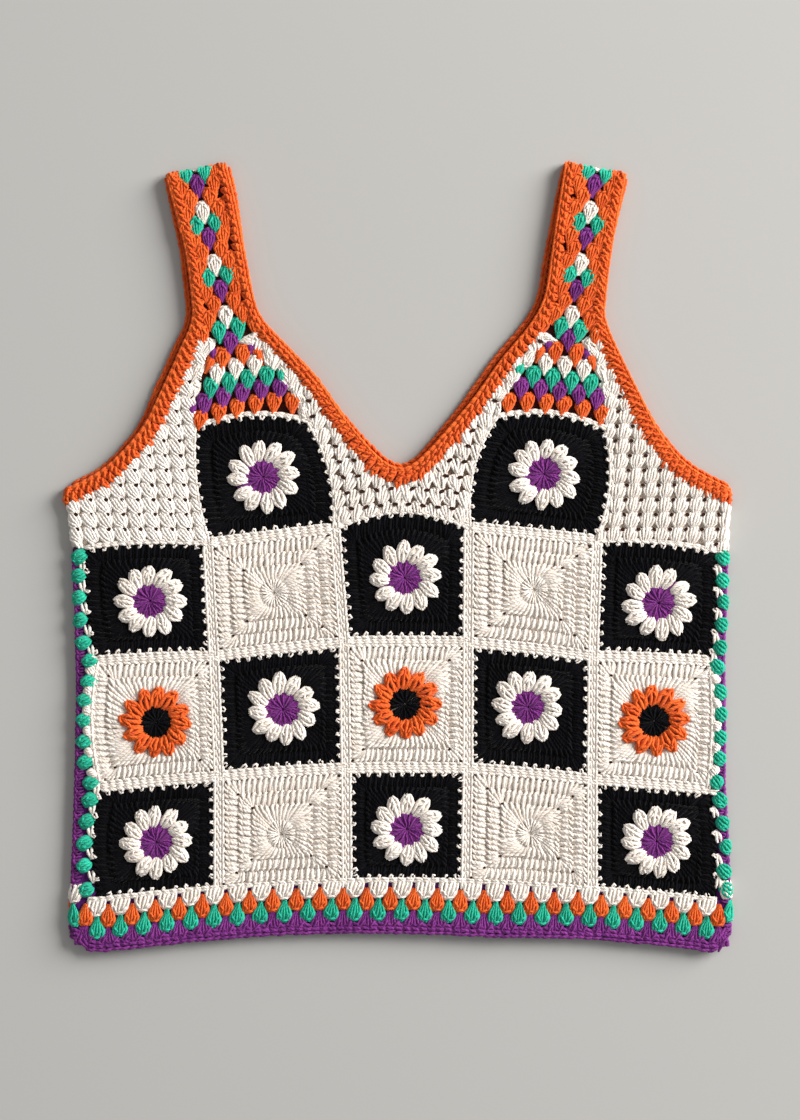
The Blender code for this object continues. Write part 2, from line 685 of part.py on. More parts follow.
def back_panel(collection, plan):
    """Back of the body: plain, under the whole front, with the same neck and armholes."""
    def shifted(points):
        points = np.array(points)
        points[:, 0] += back_offset(points[:, 1])
        return points

    left_scye = shifted([join for _, join in [plan["arm_left"][-1]] + plan["scye_left"]])
    right_scye = shifted([join for _, join in [plan["arm_right"][-1]] + plan["scye_right"]])
    neck = shifted([join for _, join in [plan["neck_left"][-1]] + plan["v"]])
    hem = hem_top_line()
    top_left = side_seam_line(1)
    top_right = side_seam_line(5)
    left_side = [(side_band_end(-1, y), y) for _, y in top_left]
    right_side = [(side_band_end(1, y), y) for _, y in top_right]
    left_body = np.array(LEFT_BODY_EDGE[1:3]) * MM
    right_body = np.array(RIGHT_BODY_EDGE[1:2]) * MM
    left_corner = [(np.interp(top_left[0, 1], *side_axis(LEFT_BODY_EDGE)), top_left[0, 1])]
    right_corner = [(np.interp(top_right[0, 1], *side_axis(RIGHT_BODY_EDGE)), top_right[0, 1])]
    back = [hem[k] for k in hem_back_stations(len(hem))[::-1]]
    back = [p for p in back if left_side[-1][0] < p[0] < right_side[-1][0]]
    outline = np.vstack([left_scye, left_body, left_corner, left_side, back,
                         right_side[::-1], right_corner, right_body, right_scye[::-1], neck[::-1]])
    wall_from_outline(collection, "back_panel", "cream", outline, front=False)


def build():
    """Build the whole vest."""
    clear_scene()
    parts = new_collection("cotton_vest")
    plan = lay_out()
    for row, column, kind in FRONT_SQUARES:
        square_piece(parts, row, column, kind)
    left_up = shoulder_direction(-1)
    right_up = shoulder_direction(1)
    strap_piece(parts, "strap_left", square_edges(1, 2)[2], LEFT_CUP_OUTER, LEFT_CUP_INNER,
                plan["arm_left"], plan["neck_left"], left_up)
    strap_piece(parts, "strap_right", square_edges(1, 4)[2], RIGHT_CUP_INNER, RIGHT_CUP_OUTER,
                plan["neck_right"], plan["arm_right"], right_up)
    neck = plan["neck_left"] + plan["v"] + plan["neck_right"][-2::-1]
    edging_piece(parts, "neck_edging", neck, left_up, right_up)
    edging_piece(parts, "armhole_edging_left", plan["arm_left"] + plan["scye_left"], left_up, (-1.0, 0.0))
    edging_piece(parts, "armhole_edging_right", plan["arm_right"] + plan["scye_right"], right_up, (1.0, 0.0))
    yoke_pieces(parts, plan)
    side_band_piece(parts, "side_band_left", LEFT_BODY_EDGE, -1, side_seam_line(1))
    side_band_piece(parts, "side_band_right", RIGHT_BODY_EDGE, 1, side_seam_line(5))
    hem_piece(parts)
    back_panel(parts, plan)


build()
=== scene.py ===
import math

import bpy
import numpy as np
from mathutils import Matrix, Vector, geometry


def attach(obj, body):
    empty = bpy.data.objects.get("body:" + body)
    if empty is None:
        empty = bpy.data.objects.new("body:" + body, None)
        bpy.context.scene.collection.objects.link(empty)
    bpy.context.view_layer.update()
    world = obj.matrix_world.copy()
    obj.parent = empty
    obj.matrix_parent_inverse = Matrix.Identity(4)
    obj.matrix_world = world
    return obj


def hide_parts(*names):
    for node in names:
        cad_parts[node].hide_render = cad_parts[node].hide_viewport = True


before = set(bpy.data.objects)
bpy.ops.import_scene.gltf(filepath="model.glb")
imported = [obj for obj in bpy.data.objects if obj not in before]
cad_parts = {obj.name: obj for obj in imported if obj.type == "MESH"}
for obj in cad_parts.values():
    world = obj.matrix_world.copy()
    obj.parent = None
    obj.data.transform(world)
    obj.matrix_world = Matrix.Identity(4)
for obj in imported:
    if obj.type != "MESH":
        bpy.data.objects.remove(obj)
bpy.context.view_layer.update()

# Crocheted cotton vest laid flat. Every stitch is yarn: bundles of strands worked out from a few
# stitch patterns and laid on a thin ground cloth that has the form of the solid it stands for.
# Tables give millimetres, everything else is in metres.
MM = 0.001
TINY = 1e-12

# Walls of the solids and of the ground cloth, the gap between layers, and the middle heights of the back
# layer, the front layer and the folds between them, with the length of yarn that a fold takes up
GAP = 0.3 * MM
SOLID_WALL = 3.0 * MM
GROUND_WALL = 1.4 * MM
Z_BACK = SOLID_WALL / 2
Z_FRONT = 1.5 * SOLID_WALL + GAP
Z_FOLD = SOLID_WALL + GAP / 2
FOLD_RADIUS = (SOLID_WALL + GAP) / 2
YARN_HEIGHT = 1.4 * MM
FOLD_LENGTH = math.pi * (FOLD_RADIUS + YARN_HEIGHT)
GROUND_TOP = Z_FRONT + GROUND_WALL / 2
FLOOR_CLEARANCE = 0.02 * MM

# Low waves of the front layer, which fade out towards the folds
RISE = 0.6 * MM
RISE_FADE = 45 * MM
RISE_WAVE = (37 * MM, 45 * MM)
RISE_PHASE = (0.6, -0.4)
SIDE_FOLD_X = 224 * MM
SHOULDER_FOLD_Y = 262 * MM

# Neck rim on the front, from the left shoulder fold to the right one: x, y, width of its edging
NECK_RIM = (
    (-119.5, 270.9, 7.0), (-114.1, 249.5, 7.0), (-107.4, 214.5, 7.0), (-100.4, 179.5, 7.5),
    (-94.5, 165.5, 8.0), (-81.5, 151.5, 9.5), (-56.3, 124.9, 10.5), (-40.2, 101.5, 10.5),
    (-20.6, 77.3, 11.0), (-7.0, 64.9, 11.5), (3.1, 61.9, 12.0), (13.0, 66.5, 11.5),
    (28.3, 81.5, 10.5), (53.5, 111.3, 10.0), (72.4, 137.5, 9.5), (92.8, 162.0, 8.5),
    (103.2, 181.5, 7.5), (108.5, 214.5, 7.0), (113.7, 249.5, 7.0), (117.4, 273.0, 7.0),
)

# Armhole rims on the front, from the shoulder fold to the fold under the arm: x, y, edging width
LEFT_ARMHOLE_RIM = (
    (-160.9, 264.2, 7.0), (-157.0, 249.5, 7.0), (-148.0, 214.5, 7.0), (-143.3, 179.5, 7.5),
    (-143.5, 164.0, 8.0), (-152.2, 144.5, 10.0), (-168.3, 109.5, 10.5), (-177.1, 92.0, 10.5),
    (-190.8, 75.2, 10.5), (-205.4, 61.6, 10.5), (-220.1, 52.8, 10.0), (-231.3, 48.0, 10.0),
)
RIGHT_ARMHOLE_RIM = (
    (158.8, 263.4, 7.0), (155.8, 249.5, 7.0), (149.4, 214.5, 7.0), (145.2, 179.5, 7.5),
    (145.2, 165.5, 8.0), (154.0, 144.5, 9.5), (171.5, 109.5, 10.5), (180.2, 92.0, 10.5),
    (192.5, 74.5, 10.5), (203.0, 64.0, 10.5), (217.0, 55.3, 10.0), (231.3, 48.4, 10.0),
)

# Rows of corners where the squares meet, from the chest down to the hem: x, y
SQUARE_ROWS = (
    ((-219.4, 6.6), (-132.7, 9.4), (-43.8, 19.9), (50.0, 20.6), (139.6, 11.5), (223.0, 4.6)),
    ((-211.8, -73.1), (-128.4, -69.6), (-37.4, -59.8), (49.3, -59.8), (136.8, -69.6), (220.2, -73.1)),
    ((-209.6, -161.3), (-124.9, -153.6), (-36.0, -148.0), (49.3, -148.0), (136.1, -155.8), (218.8, -162.8)),
    ((-209.6, -240.4), (-124.9, -232.0), (-35.3, -227.1), (47.9, -227.1), (136.1, -232.7), (223.0, -240.4)),
)

# Upper corners of the two squares that reach the straps: left x, y, then right x, y
LEFT_CUP_CORNERS = ((-142.5, 90.6), (-62.6, 95.5))
RIGHT_CUP_CORNERS = ((68.9, 98.3), (146.2, 89.9))

# How far an edge between squares bows, up or out to the side, at its middle
CHEST_BOWS = (2.8, 0.0, 11.9, 0.0, 2.8)
LOWER_BOW = 0.6
CUP_TOP_BOW = 7.2
LEFT_CUP_BOWS = (4.2, 7.0)
RIGHT_CUP_BOWS = (7.7, 7.0)
LEFT_SIDE_BOWS = (3.0, 5.5, 5.0)
RIGHT_SIDE_BOWS = (2.6, 2.6, 3.0)

# Sides of the coloured triangle above each upper square, from its foot up: x, y
LEFT_CUP_OUTER = ((-141.5, 109.5), (-138.4, 123.5), (-135.4, 137.5), (-130.5, 150.5))
LEFT_CUP_INNER = ((-68.2, 109.5), (-79.4, 123.5), (-92.0, 137.5), (-104.0, 150.5))
RIGHT_CUP_INNER = ((73.8, 109.5), (81.5, 123.5), (91.3, 137.5), (105.5, 150.5))
RIGHT_CUP_OUTER = ((147.2, 109.5), (144.5, 123.5), (140.3, 137.5), (132.5, 150.5))

# Outer edges of the body below the armholes by side, -1 for left and 1 for right: x, y
BODY_EDGES = {
    -1: ((-232.0, 38.0), (-229.6, 28.0), (-228.5, 13.6), (-227.8, -2.4), (-226.2, -30.4), (-224.7, -90.0),
         (-225.6, -142.4), (-227.3, -198.4), (-229.0, -240.4)),
    1: ((233.4, 38.0), (231.8, 28.0), (231.3, 4.5), (230.4, -30.4), (229.0, -65.5), (229.6, -114.4),
        (229.4, -159.9), (231.6, -195.0), (233.4, -240.4)),
}

# Lower edge of the hem: x, y
HEM_EDGE = ((-223.6, -265.0), (-216.6, -275.8), (-194.2, -274.8), (-138.2, -268.8), (-68.2, -264.2),
            (1.8, -263.6), (71.8, -266.0), (134.8, -267.8), (197.8, -273.3), (223.5, -275.9),
            (231.0, -262.0))

# Squares of the front: row, column, kind, turn of the flower in degrees, its centre's x and y
SQUARES = (
    (1, 2, "black", 8, -94.1, 55.6),
    (1, 4, "black", -6, 102.5, 57.7),
    (2, 1, "black", 1, -173.2, -31.1),
    (2, 2, "plain", 4, -86.4, -25.5),
    (2, 3, "black", 5, 5.2, -15.0),
    (2, 4, "plain", -7, 95.5, -23.4),
    (2, 5, "black", 6, 182.6, -32.5),
    (3, 1, "flower", -3, -169.0, -115.8),
    (3, 2, "black", 9, -80.1, -106.8),
    (3, 3, "flower", 2, 5.2, -103.2),
    (3, 4, "black", -4, 91.3, -105.3),
    (3, 5, "flower", 4, 179.3, -115.1),
    (4, 1, "black", 3, -168.6, -199.8),
    (4, 2, "plain", 2, -81.5, -194.2),
    (4, 3, "black", -2, 6.6, -190.8),
    (4, 4, "plain", 9, 92.8, -193.5),
    (4, 5, "black", 7, 181.4, -199.1),
)

# Where the straps part from the body, how they slope, and how finely the bands are divided
STRAP_SPLIT_Y = 157.0 * MM
STRAP_SLOPE = 0.19
STRAP_ROWS = 16
NECK_STATIONS = 60
ARMHOLE_STATIONS = 30
FOLD_STEPS = (0.14, 0.28, 0.43, 0.57, 0.72, 0.86)
EDGE_POINTS = 25
EDGING_POINTS = 6
HEM_POINTS = 9

# Back layer: its wall, how far the side bands reach over it, how far its straps are shifted and where
# that fades, and at every how many points of the squares its side edges are taken
BACK_WALL = 2.2 * MM
SIDE_BAND_BACK = 10 * MM
BACK_SHIFT = 3.0 * MM
BACK_TOP_FADE = 60 * MM
BACK_FOOT_Y = 70 * MM
BACK_FOOT_FADE = 50 * MM
BACK_EDGE_STEP = 6

# Inner points of the flat cloths: their grids, how many steps they keep clear of the edge, and the
# distance in mm below which two points are one
SQUARE_GRID = 12 * MM
YOKE_GRID = 14 * MM
BACK_GRID = 20 * MM
EDGE_CLEARANCE = 0.4
SAME_POINT = 1e-5

# Linear yarn colours: lighter and darker end of each, and how strongly its surface sheens. Their mix holds
# painted shade in the ply grooves
YARNS = {
    "cream": ((0.93, 0.885, 0.835), (0.73, 0.65, 0.575), 0.20),
    "black": ((0.0060, 0.0060, 0.0085), (0.0010, 0.0010, 0.0015), 0.04),
    "orange": ((0.95, 0.180, 0.030), (0.58, 0.066, 0.008), 0.10),
    "purple": ((0.310, 0.050, 0.330), (0.095, 0.010, 0.120), 0.10),
    "teal": ((0.030, 0.600, 0.400), (0.008, 0.280, 0.180), 0.10),
}

# Yarn: its surface, how its plies turn (mm for a turn), and what each cause adds to its lightness; the plies
# add painted shade in the grooves between them
YARN_ROUGHNESS = 0.88
YARN_SPECULAR = 0.22
BLACK_SPECULAR = 0.06
SHEEN_ROUGHNESS = 0.45
PLIES = 3
PLY_LENGTH = 2.6
PLY_GROOVE_SHADE = 0.10
DYE_SHADE = 0.35
FIBRE_SHADE = 0.25
TONE_MIDDLE = 0.42

# Ground cloth under the stitches: light and dark colour. Under yarn they are darker than it: painted shade
# where the cloth shows between the strands
GROUNDS = {
    "cream": ((0.80, 0.71, 0.61), (0.52, 0.42, 0.33)),
    "black": ((0.0020, 0.0020, 0.0028), (0.0008, 0.0008, 0.0010)),
    "orange": ((0.50, 0.065, 0.008), (0.26, 0.028, 0.004)),
    # Dark brown under the triangles and straps: painted shadow between the clusters
    "triangle": ((0.060, 0.014, 0.010), (0.025, 0.006, 0.006)),
    "purple": ((0.10, 0.014, 0.150), (0.04, 0.006, 0.060)),
    "back": ((0.80, 0.73, 0.65), (0.50, 0.42, 0.34)),
    # Dark brown under the centre yoke: painted shadow in the open spaces between its fans
    "yoke": ((0.42, 0.30, 0.23), (0.16, 0.09, 0.07)),
    # Dark brown spots in the holes: painted shadow of the inside seen through them
    "gap": ((0.040, 0.015, 0.010), (0.012, 0.005, 0.004)),
}

# Strands: the shortest share of one that stays after a cut, how level a tangent's side has to be, the
# direction that stands in for it, where the plies start at random in mm, and how much strands differ
SHORTEST_KEPT = 0.3
UPRIGHT = 0.08
LEVEL_DIRECTION = (0.6, 0.8, 0.0)
LATEST_START = 3.0
HEIGHT_WOBBLE = 0.6
THICKNESS_SPREAD = 0.06
STITCH_TONE_SPREAD = 0.08
STRAND_TONE_SPREAD = 0.07

# How much of their height stitches keep on the back layer, and lose where a fold has turned them there
BACK_FLATTENED = 0.8
BACK_SQUASH = 0.42

# Clusters: how much lower their outer strands lie, how thin strands get where the cluster is narrow, and
# how far the ends of a wrapping strand lie below its middle and how thick both are, in mm
CROWN = 0.3
THIN_SHARE = 0.42
WRAP_DROP = 1.2
WRAP_ENDS = 0.62
WRAP_MIDDLE = 0.88

# Holes drawn as dark spots of painted shadow, the shaded inside seen through them: half width, half height,
# height above the ground cloth
CORNER_HOLE = (1.2 * MM, 0.9 * MM, 2.6 * MM)
SIDE_YOKE_HOLE = (1.7 * MM, 1.3 * MM, 2.8 * MM)
CENTRE_YOKE_HOLE = (2.3 * MM, 1.3 * MM, 3.3 * MM)
HOLE_SIDES = 8
HOLE_TURN = 0.35

# Rounds of posts by kind of square: shares of the square where they start and end, and the radius of
# the circle that the first one starts from. Then the shares at whose corners a hole is drawn as a spot of
# painted shadow.
ROUNDS = {
    "plain": ((0.0, 0.51, 9.0 * MM), (0.51, 0.745, None), (0.745, 1.0, None)),
    "black": ((0.0, 0.75, 21 * MM), (0.75, 1.0, None)),
    "flower": ((0.0, 0.76, 22 * MM), (0.76, 1.0, None)),
}
CORNER_HOLES = {"plain": (0.5, 0.76, 0.98), "flower": (0.78, 0.98)}
POST_TONES = {"plain": 0.42, "black": 0.5, "flower": 0.5}
POST_SWELL = 1.18
POST_HALF = 1.25 * MM
HEAD_SHARE = 0.65
CORNER_SHARE = 0.03
SIDE_STEP = 0.02

# Flowers: colours of petals and centre, then the petals' foot, reach, fullness, half width and spread.
# Rays of the centre: turn in radians, or every how many, then start, end, height, swelling. Lengths in mm.
FLOWER_COLORS = {"black": ("cream", "purple"), "flower": ("orange", "black")}
PETALS = 12
PETAL_TURN = 30
PETAL_FOOT = 10.8 * MM
PETAL_REACH = {"black": 24.0, "flower": 25.2}
PETAL_FULLNESS = {"black": 1.0, "flower": 1.14}
PETAL_HALF = (4.5, 5.2)
PETAL_SPREAD = 1.4
REACH_SPREAD = 0.6
RAY_HALF = 1.4 * MM
RAY_SPREAD = 1.5
RAYS_BETWEEN = ((0.0, 4.0, 18.5, 0.5, 1.5), (0.10, 5.0, 15.5, 0.7, 1.0), (-0.10, 5.0, 15.5, 0.7, 1.0))
DENSE_RAYS = 40
DENSE_LAYERS = ((1, 0.5, 12.5, 0.5, 1.0), (3, 0.8, 11.0, 1.2, 1.0))
STAR_RAYS = 24
STAR_ENDS = (0.7, 10.0)

# Borders of the squares, and the steps of plaits, loops and posts
BORDER_WIDTHS = {"seam": 4.2 * MM, "edge": 2.2 * MM, "side": 1.2 * MM}
CHAIN_PITCH = 5.8 * MM
PICOT_PITCH = 8.7 * MM
POST_PITCH = 3.9 * MM

# Loops over black: how unevenly they stand and lean, as shares of the side, and their foot and head
PICOT_SPREAD = 0.12
PICOT_LEAN = (-0.01, 0.02)
PICOT_ENDS = (-0.8 * MM, 1.9 * MM)

# Plaits: how far inside the outline they run, and their half width
PLAITS = {"seam": (0.45 * BORDER_WIDTHS["seam"], 1.05 * MM), "edge": (0.5 * MM, 0.8 * MM)}

# Stitches between the puffs: half length of a dash, and how far inside the outline each starts and ends
DASH = 2.8 * MM
DASH_ENDS = (-0.8 * MM, -0.2 * MM)
HOOK_ENDS = (0.0, 3.2 * MM)
BUMP_ENDS = (1.6 * MM, -3.8 * MM)

# Edgings: step and slant of the stitches, how far they run on past the folds, places of the cords and
# of the back's legs as shares of the width, how unevenly the tips reach into the cloth, and how far at most
EDGING_PITCH = 5.8 * MM
EDGING_SLANT = 1.6 * MM
OVER_FOLD = 22 * MM
CORD_SHARE = 0.13
BACK_CORD_SHARE = -0.08
BACK_LEG_SHARES = (0.6, 0.1)
BACK_LEG_SLANT = 1.5 * MM
TIP_SPREAD = 0.28
ARM_TIPS = 1.38
NECK_TIPS = 1.30

# Their rows of stitches: share of the width at the foot, or none for the uneven tips, and its step along
# in slants, the same for the head, then lift and tone
EDGING_ROWS = ((None, 0.0, 0.46, 1.0, 0.9, 0.50), (0.76, 1.2, 0.20, 2.2, 0.7, 0.54))

# Clusters of the yokes: steps along a row and from row to row, half width and tones. The tones are painted
# light: the left yoke is painted lightest, the right one darkest
SHELL_PITCH = 11.05 * MM
SHELL_RISE = 10.3 * MM
SHELL_HALF = 5.4 * MM
SHELL_PAINTED_LIGHT_TONES = {"left": 0.98, "centre": 0.72, "right": 0.60}

# Side yokes: a hole of the left one, which the right one mirrors, the numbers of its clusters and rows,
# counted from there, how far the next row is shifted, and how far feet and heads of the clusters lie over
# the holes and, by side, beside them
SIDE_HOLE = (-212.7 * MM, 19.0 * MM)
SIDE_SHELLS = ((-2, 12), (-2, 15))
ROW_SHIFT = 1.0 * MM
FOOT_OVER = 1.3 * MM
HEAD_OVER = 2.2 * MM
SHELL_LEAN = {-1: (0.0, -6.3 * MM), 1: (5.5 * MM, 6.6 * MM)}

# Centre yoke: its middle line, the room beside it, a hole of its left half, the numbers of the clusters
# and rows, the steps along a row and to the next row in mm, and where feet, heads and dark spots lie
# against the holes
MIDDLE_X = 3.0 * MM
MIDDLE_ROOM = 1.0 * MM
CENTRE_HOLE = (-27.7, 55.7)
CENTRE_SHELLS = ((-9, 9), (-10, 4))
CENTRE_PITCH = (10.2, 1.0)
CENTRE_ROW = (2.8, -10.9)
CENTRE_FOOT = (0.0, 1.5 * MM)
CENTRE_HEAD = (2.5 * MM, 13.4 * MM)
HOLE_OVER = 0.6 * MM

# Strands at the yokes' edges under the edgings: how finely the edge is divided, step, start and end
FRINGE_POINTS = 120
FRINGE_PITCH = 2.5 * MM
FRINGE_ENDS = (6.0 * MM, -1.2 * MM)

# Where yoke stitches may lie: round the side folds, a little past the outline, holes well inside it
AT_EDGE = 1.0 * MM
ROUND_FOLD = 8 * MM
YOKE_OVERHANG = 1.0 * MM
HOLE_ROOM = 3.0 * MM

# Flat size of the centre yoke, which bends round the V
V_STRIP = (45 * MM, 260 * MM)

# Clusters of the straps: size, rows, half the distance of a pair, and the orange ones' place at the edge
CLUSTER_HALF = 5.5 * MM
CLUSTER_LENGTH = 15.6 * MM
STRAP_ROW_PITCH = 9.15 * MM
STRAP_ROW_COUNT = 18
PAIR_HALF = 6.9 * MM
EDGE_INSIDE = 3.2 * MM
EDGE_OUTSIDE = 0.5 * MM

# Side bands: the puffs' place against the table, direction and size, and the purple rim with its legs
PUFF_OUT = 0.6 * MM
PUFF_SLANT = (0.78, -0.62)
PUFF_HALF = 4.5 * MM
PUFF_LENGTH = 10.6 * MM
SIDE_RIM_PITCH = 4.2 * MM
SIDE_RIM_OUT = 0.8 * MM
LEG_ENDS = ((7, 0), (1.5, 1.5))

# Hem: x of cluster 0 and the step to the next in mm, the numbers of its clusters, which go on round the
# folds, how many points of its edge are left out at each corner, and how far its rim runs on
HEM_FIRST = -218.7
HEM_PITCH = 16.41
HEM_CLUSTERS = (-1, 29)
HEM_CORNER = 3
RIM_OVER = 8 * MM

# Rows of the hem: colour, whether it stands between the others, height of foot and head over the lower
# edge, half width and lift, all in mm. Then the plaits of its rim: height, half width and lift.
HEM_ROWS = (
    ("cream", True, 37.4, 24.6, 6.6, 0.0),
    ("orange", False, 31.4, 16.2, 5.5, 0.3),
    ("teal", True, 24.0, 8.6, 5.6, 0.3),
    ("purple", False, 16.8, 3.4, 7.6, 0.0),
)
HEM_RIMS = ((2.2, 1.5, 0.4), (5.0, 1.4, 0.5))

# Rows of clusters in the triangles above the upper squares, by side:
# colour, count, x and y of the first, x and y of the last, bow, length
CUP_ROWS = {
    -1: (
        ("orange", 6, -138.3, 95.4, -73.2, 107.6, 3.4, 13.8),
        ("purple", 5, -135.1, 106.4, -82.3, 117.1, 2.4, 15.6),
        ("teal", 4, -130.7, 117.6, -91.4, 125.4, 0.7, 15.6),
        ("cream", 3, -126.3, 127.9, -99.8, 133.4, 0.3, 15.6),
        ("orange", 2, -122.1, 138.6, -108.1, 141.3, 0.0, 15.6),
        ("purple", 1, -116.6, 149.5, -116.6, 149.5, 0.0, 15.6),
    ),
    1: (
        ("orange", 6, 77.4, 107.5, 142.5, 99.1, 3.0, 13.8),
        ("purple", 5, 86.5, 117.6, 139.9, 109.9, 1.2, 15.6),
        ("teal", 4, 94.9, 125.8, 134.8, 119.9, 0.0, 15.6),
        ("cream", 3, 103.5, 134.9, 130.4, 130.4, 0.0, 15.6),
        ("orange", 2, 110.5, 143.0, 125.0, 140.9, 0.0, 15.6),
        ("purple", 1, 119.4, 151.0, 119.4, 151.0, 0.0, 15.6),
    ),
}

# Narrow clusters at the ends of those rows: colour, foot x and y, head x and y, half width
SLIVERS = {
    -1: (
        ("orange", -134.5, 128.5, -129.0, 141.5, 2.6),
        ("orange", -94.0, 134.0, -100.5, 147.5, 2.7),
        ("purple", -129.2, 137.5, -128.6, 146.0, 1.9),
        ("purple", -102.2, 141.5, -102.4, 149.5, 2.2),
        ("teal", -81.0, 120.0, -81.2, 132.0, 2.8),
        ("purple", -143.6, 99.0, -142.8, 108.5, 2.4),
    ),
    1: (
        ("orange", 97.0, 135.5, 102.0, 148.5, 2.7),
        ("orange", 137.5, 130.0, 134.2, 142.0, 2.6),
        ("purple", 105.0, 143.5, 105.8, 151.5, 2.2),
        ("purple", 131.2, 137.5, 133.2, 145.5, 2.0),
        ("teal", 84.5, 125.5, 86.3, 136.5, 3.0),
    ),
}

# Cream clusters between the triangle and the edgings: foot x and y, head x and y
FLANKS = {
    -1: ((-149.0, 105.0, -140.0, 122.0), (-144.5, 120.0, -136.5, 138.0), (-138.5, 137.0, -129.5, 152.5),
         (-110.5, 149.5, -97.5, 153.0), (-94.5, 147.5, -86.0, 130.0), (-84.0, 133.0, -73.5, 117.0),
         (-75.0, 119.0, -64.0, 104.0), (-68.5, 107.5, -62.0, 95.0)),
    1: ((151.5, 105.0, 143.0, 122.0), (146.5, 120.0, 139.0, 138.0), (142.0, 137.0, 131.0, 152.5),
        (111.0, 151.5, 98.5, 152.5), (96.0, 148.5, 88.0, 131.0), (86.5, 134.0, 77.0, 118.0),
        (78.5, 120.0, 68.0, 106.0)),
}

# Middle line of each strap from its foot over the shoulder fold: x, y
STRAP_AXIS = {
    -1: ((-116.6, 149.5), (-123.6, 186.6), (-132.0, 222.3), (-139.7, 259.4), (-143.9, 276.9)),
    1: ((119.4, 149.5), (125.0, 186.6), (131.3, 220.9), (137.6, 258.0), (140.9, 276.9)),
}

# Rows of a strap upwards: colour in the middle, and whether it is one cluster or a pair
STRAP_PATTERN = (("teal", False), ("cream", True), ("orange", False), ("purple", True))

# Teal puffs of the side bands by side: x, y
SIDE_PUFFS = {
    -1: ((-222.3, -0.4), (-223.0, -13.7), (-223.0, -29.1), (-221.6, -44.5), (-219.5, -59.9), (-214.6, -73.2),
         (-215.3, -87.2), (-218.1, -100.5), (-218.8, -114.5), (-218.8, -129.2), (-217.4, -143.9),
         (-213.9, -157.9), (-214.6, -170.5), (-217.4, -185.2), (-218.1, -200.6), (-218.8, -216.0),
         (-217.4, -233.0)),
    1: ((227.2, -1.1), (227.2, -17.2), (228.6, -31.9), (227.2, -48.0), (225.8, -63.4), (223.0, -77.4),
        (225.1, -94.9), (225.8, -110.3), (225.1, -126.4), (224.4, -141.1), (222.3, -157.2), (225.1, -170.5),
        (227.2, -186.6), (230.0, -204.1), (228.6, -220.2), (230.0, -233.0)),
}

# Camera and light: millimetres of the sensor and the lens, metres, watts, colours
CAMERA_SENSOR = 36.0
CAMERA_LENS = 73.5
CAMERA_CLIP = 20.0
CAMERA_PLACE = (0.00175, -0.00245, 1.607)
FLOOR_HALF = 3.0
FLOOR_COLOR = (0.45, 0.45, 0.44, 1.0)
LAMPS = (
    ("key", (3.70, 1.90, 1.90), 2.6, 455.0, (1.0, 0.97, 0.94)),
    ("fill", (-0.9, -1.5, 1.8), 1.6, 4.0, (0.95, 0.97, 1.0)),
)
SKY_COLOR = (1.0, 0.98, 0.95, 1.0)
SKY_STRENGTH = 0.34

random = np.random.default_rng(27)


def smooth_curve(table, per_span=16):
    """Points of a smooth curve through the rows of a table, with every column carried along."""
    rows = np.array(table, dtype=float) * MM
    padded = np.vstack([2 * rows[0] - rows[1], rows, 2 * rows[-1] - rows[-2]])
    points = []
    for k in range(1, len(padded) - 2):
        p0, p1, p2, p3 = padded[k - 1:k + 3]
        for t in np.arange(per_span) / per_span:
            points.append(0.5 * (2 * p1 + (p2 - p0) * t + (2 * p0 - 5 * p1 + 4 * p2 - p3) * t ** 2
                                 + (3 * p1 - p0 - 3 * p2 + p3) * t ** 3))
    points.append(padded[-2])
    return np.array(points)


def run_lengths(points):
    """Distance along a line of points."""
    steps = np.linalg.norm(np.diff(points[:, :2], axis=0), axis=1)
    return np.concatenate([[0.0], np.cumsum(steps)])


def walk(points, wanted):
    """Points at the wanted distances along a line, which runs on straight past its ends."""
    along = run_lengths(points)
    wanted = np.asarray(wanted, dtype=float)
    found = np.stack([np.interp(wanted, along, points[:, c]) for c in range(points.shape[1])], axis=-1)
    head = (points[0] - points[1]) / (along[1] - along[0])
    tail = (points[-1] - points[-2]) / (along[-1] - along[-2])
    found += np.maximum(-wanted, 0.0)[..., None] * head
    found += np.maximum(wanted - along[-1], 0.0)[..., None] * tail
    return found


def spread(points, count):
    """The same line with evenly spaced points."""
    return walk(points, np.linspace(0.0, run_lengths(points)[-1], count))


def across(points, sign):
    """Unit directions square to a line of points, on its left side or, with sign -1, its right."""
    tangent = np.gradient(points[:, :2], axis=0)
    tangent /= np.linalg.norm(tangent, axis=1)[:, None]
    return sign * np.stack([-tangent[:, 1], tangent[:, 0]], axis=1)


def at_level(line, y):
    """Point where a line that climbs steadily reaches the height y."""
    order = np.argsort(line[:, 1])
    return np.array([np.interp(y, line[order, 1], line[order, 0]), y])


def rise(x, y):
    """Height that the front layer gains over the back one, nothing at the folds."""
    side = np.clip((SIDE_FOLD_X - np.abs(x)) / RISE_FADE, 0.0, 1.0)
    shoulder = np.clip((SHOULDER_FOLD_Y - y) / RISE_FADE, 0.0, 1.0)
    fade = side ** 2 * (3 - 2 * side) * shoulder ** 2 * (3 - 2 * shoulder)
    wave = np.sin(x / RISE_WAVE[0] + RISE_PHASE[0]) * np.cos(y / RISE_WAVE[1] + RISE_PHASE[1])
    return RISE * (1 + wave) * fade


def back_offset(y):
    """Sideways shift of the back layer's straps and armholes against the front ones."""
    top = np.clip((SHOULDER_FOLD_Y - y) / BACK_TOP_FADE, 0.0, 1.0)
    foot = np.clip((y - BACK_FOOT_Y) / BACK_FOOT_FADE, 0.0, 1.0)
    return -BACK_SHIFT * top * foot


def bowed_edge(start, end, bow):
    """Points of an edge between two corners that bows to its left side by the given millimetres."""
    start = np.array(start) * MM
    end = np.array(end) * MM
    run = end - start
    left = np.array([-run[1], run[0]]) / np.linalg.norm(run)
    shares = np.linspace(0, 1, EDGE_POINTS)
    return np.array([start + run * t + left * bow * MM * 4 * t * (1 - t) for t in shares])


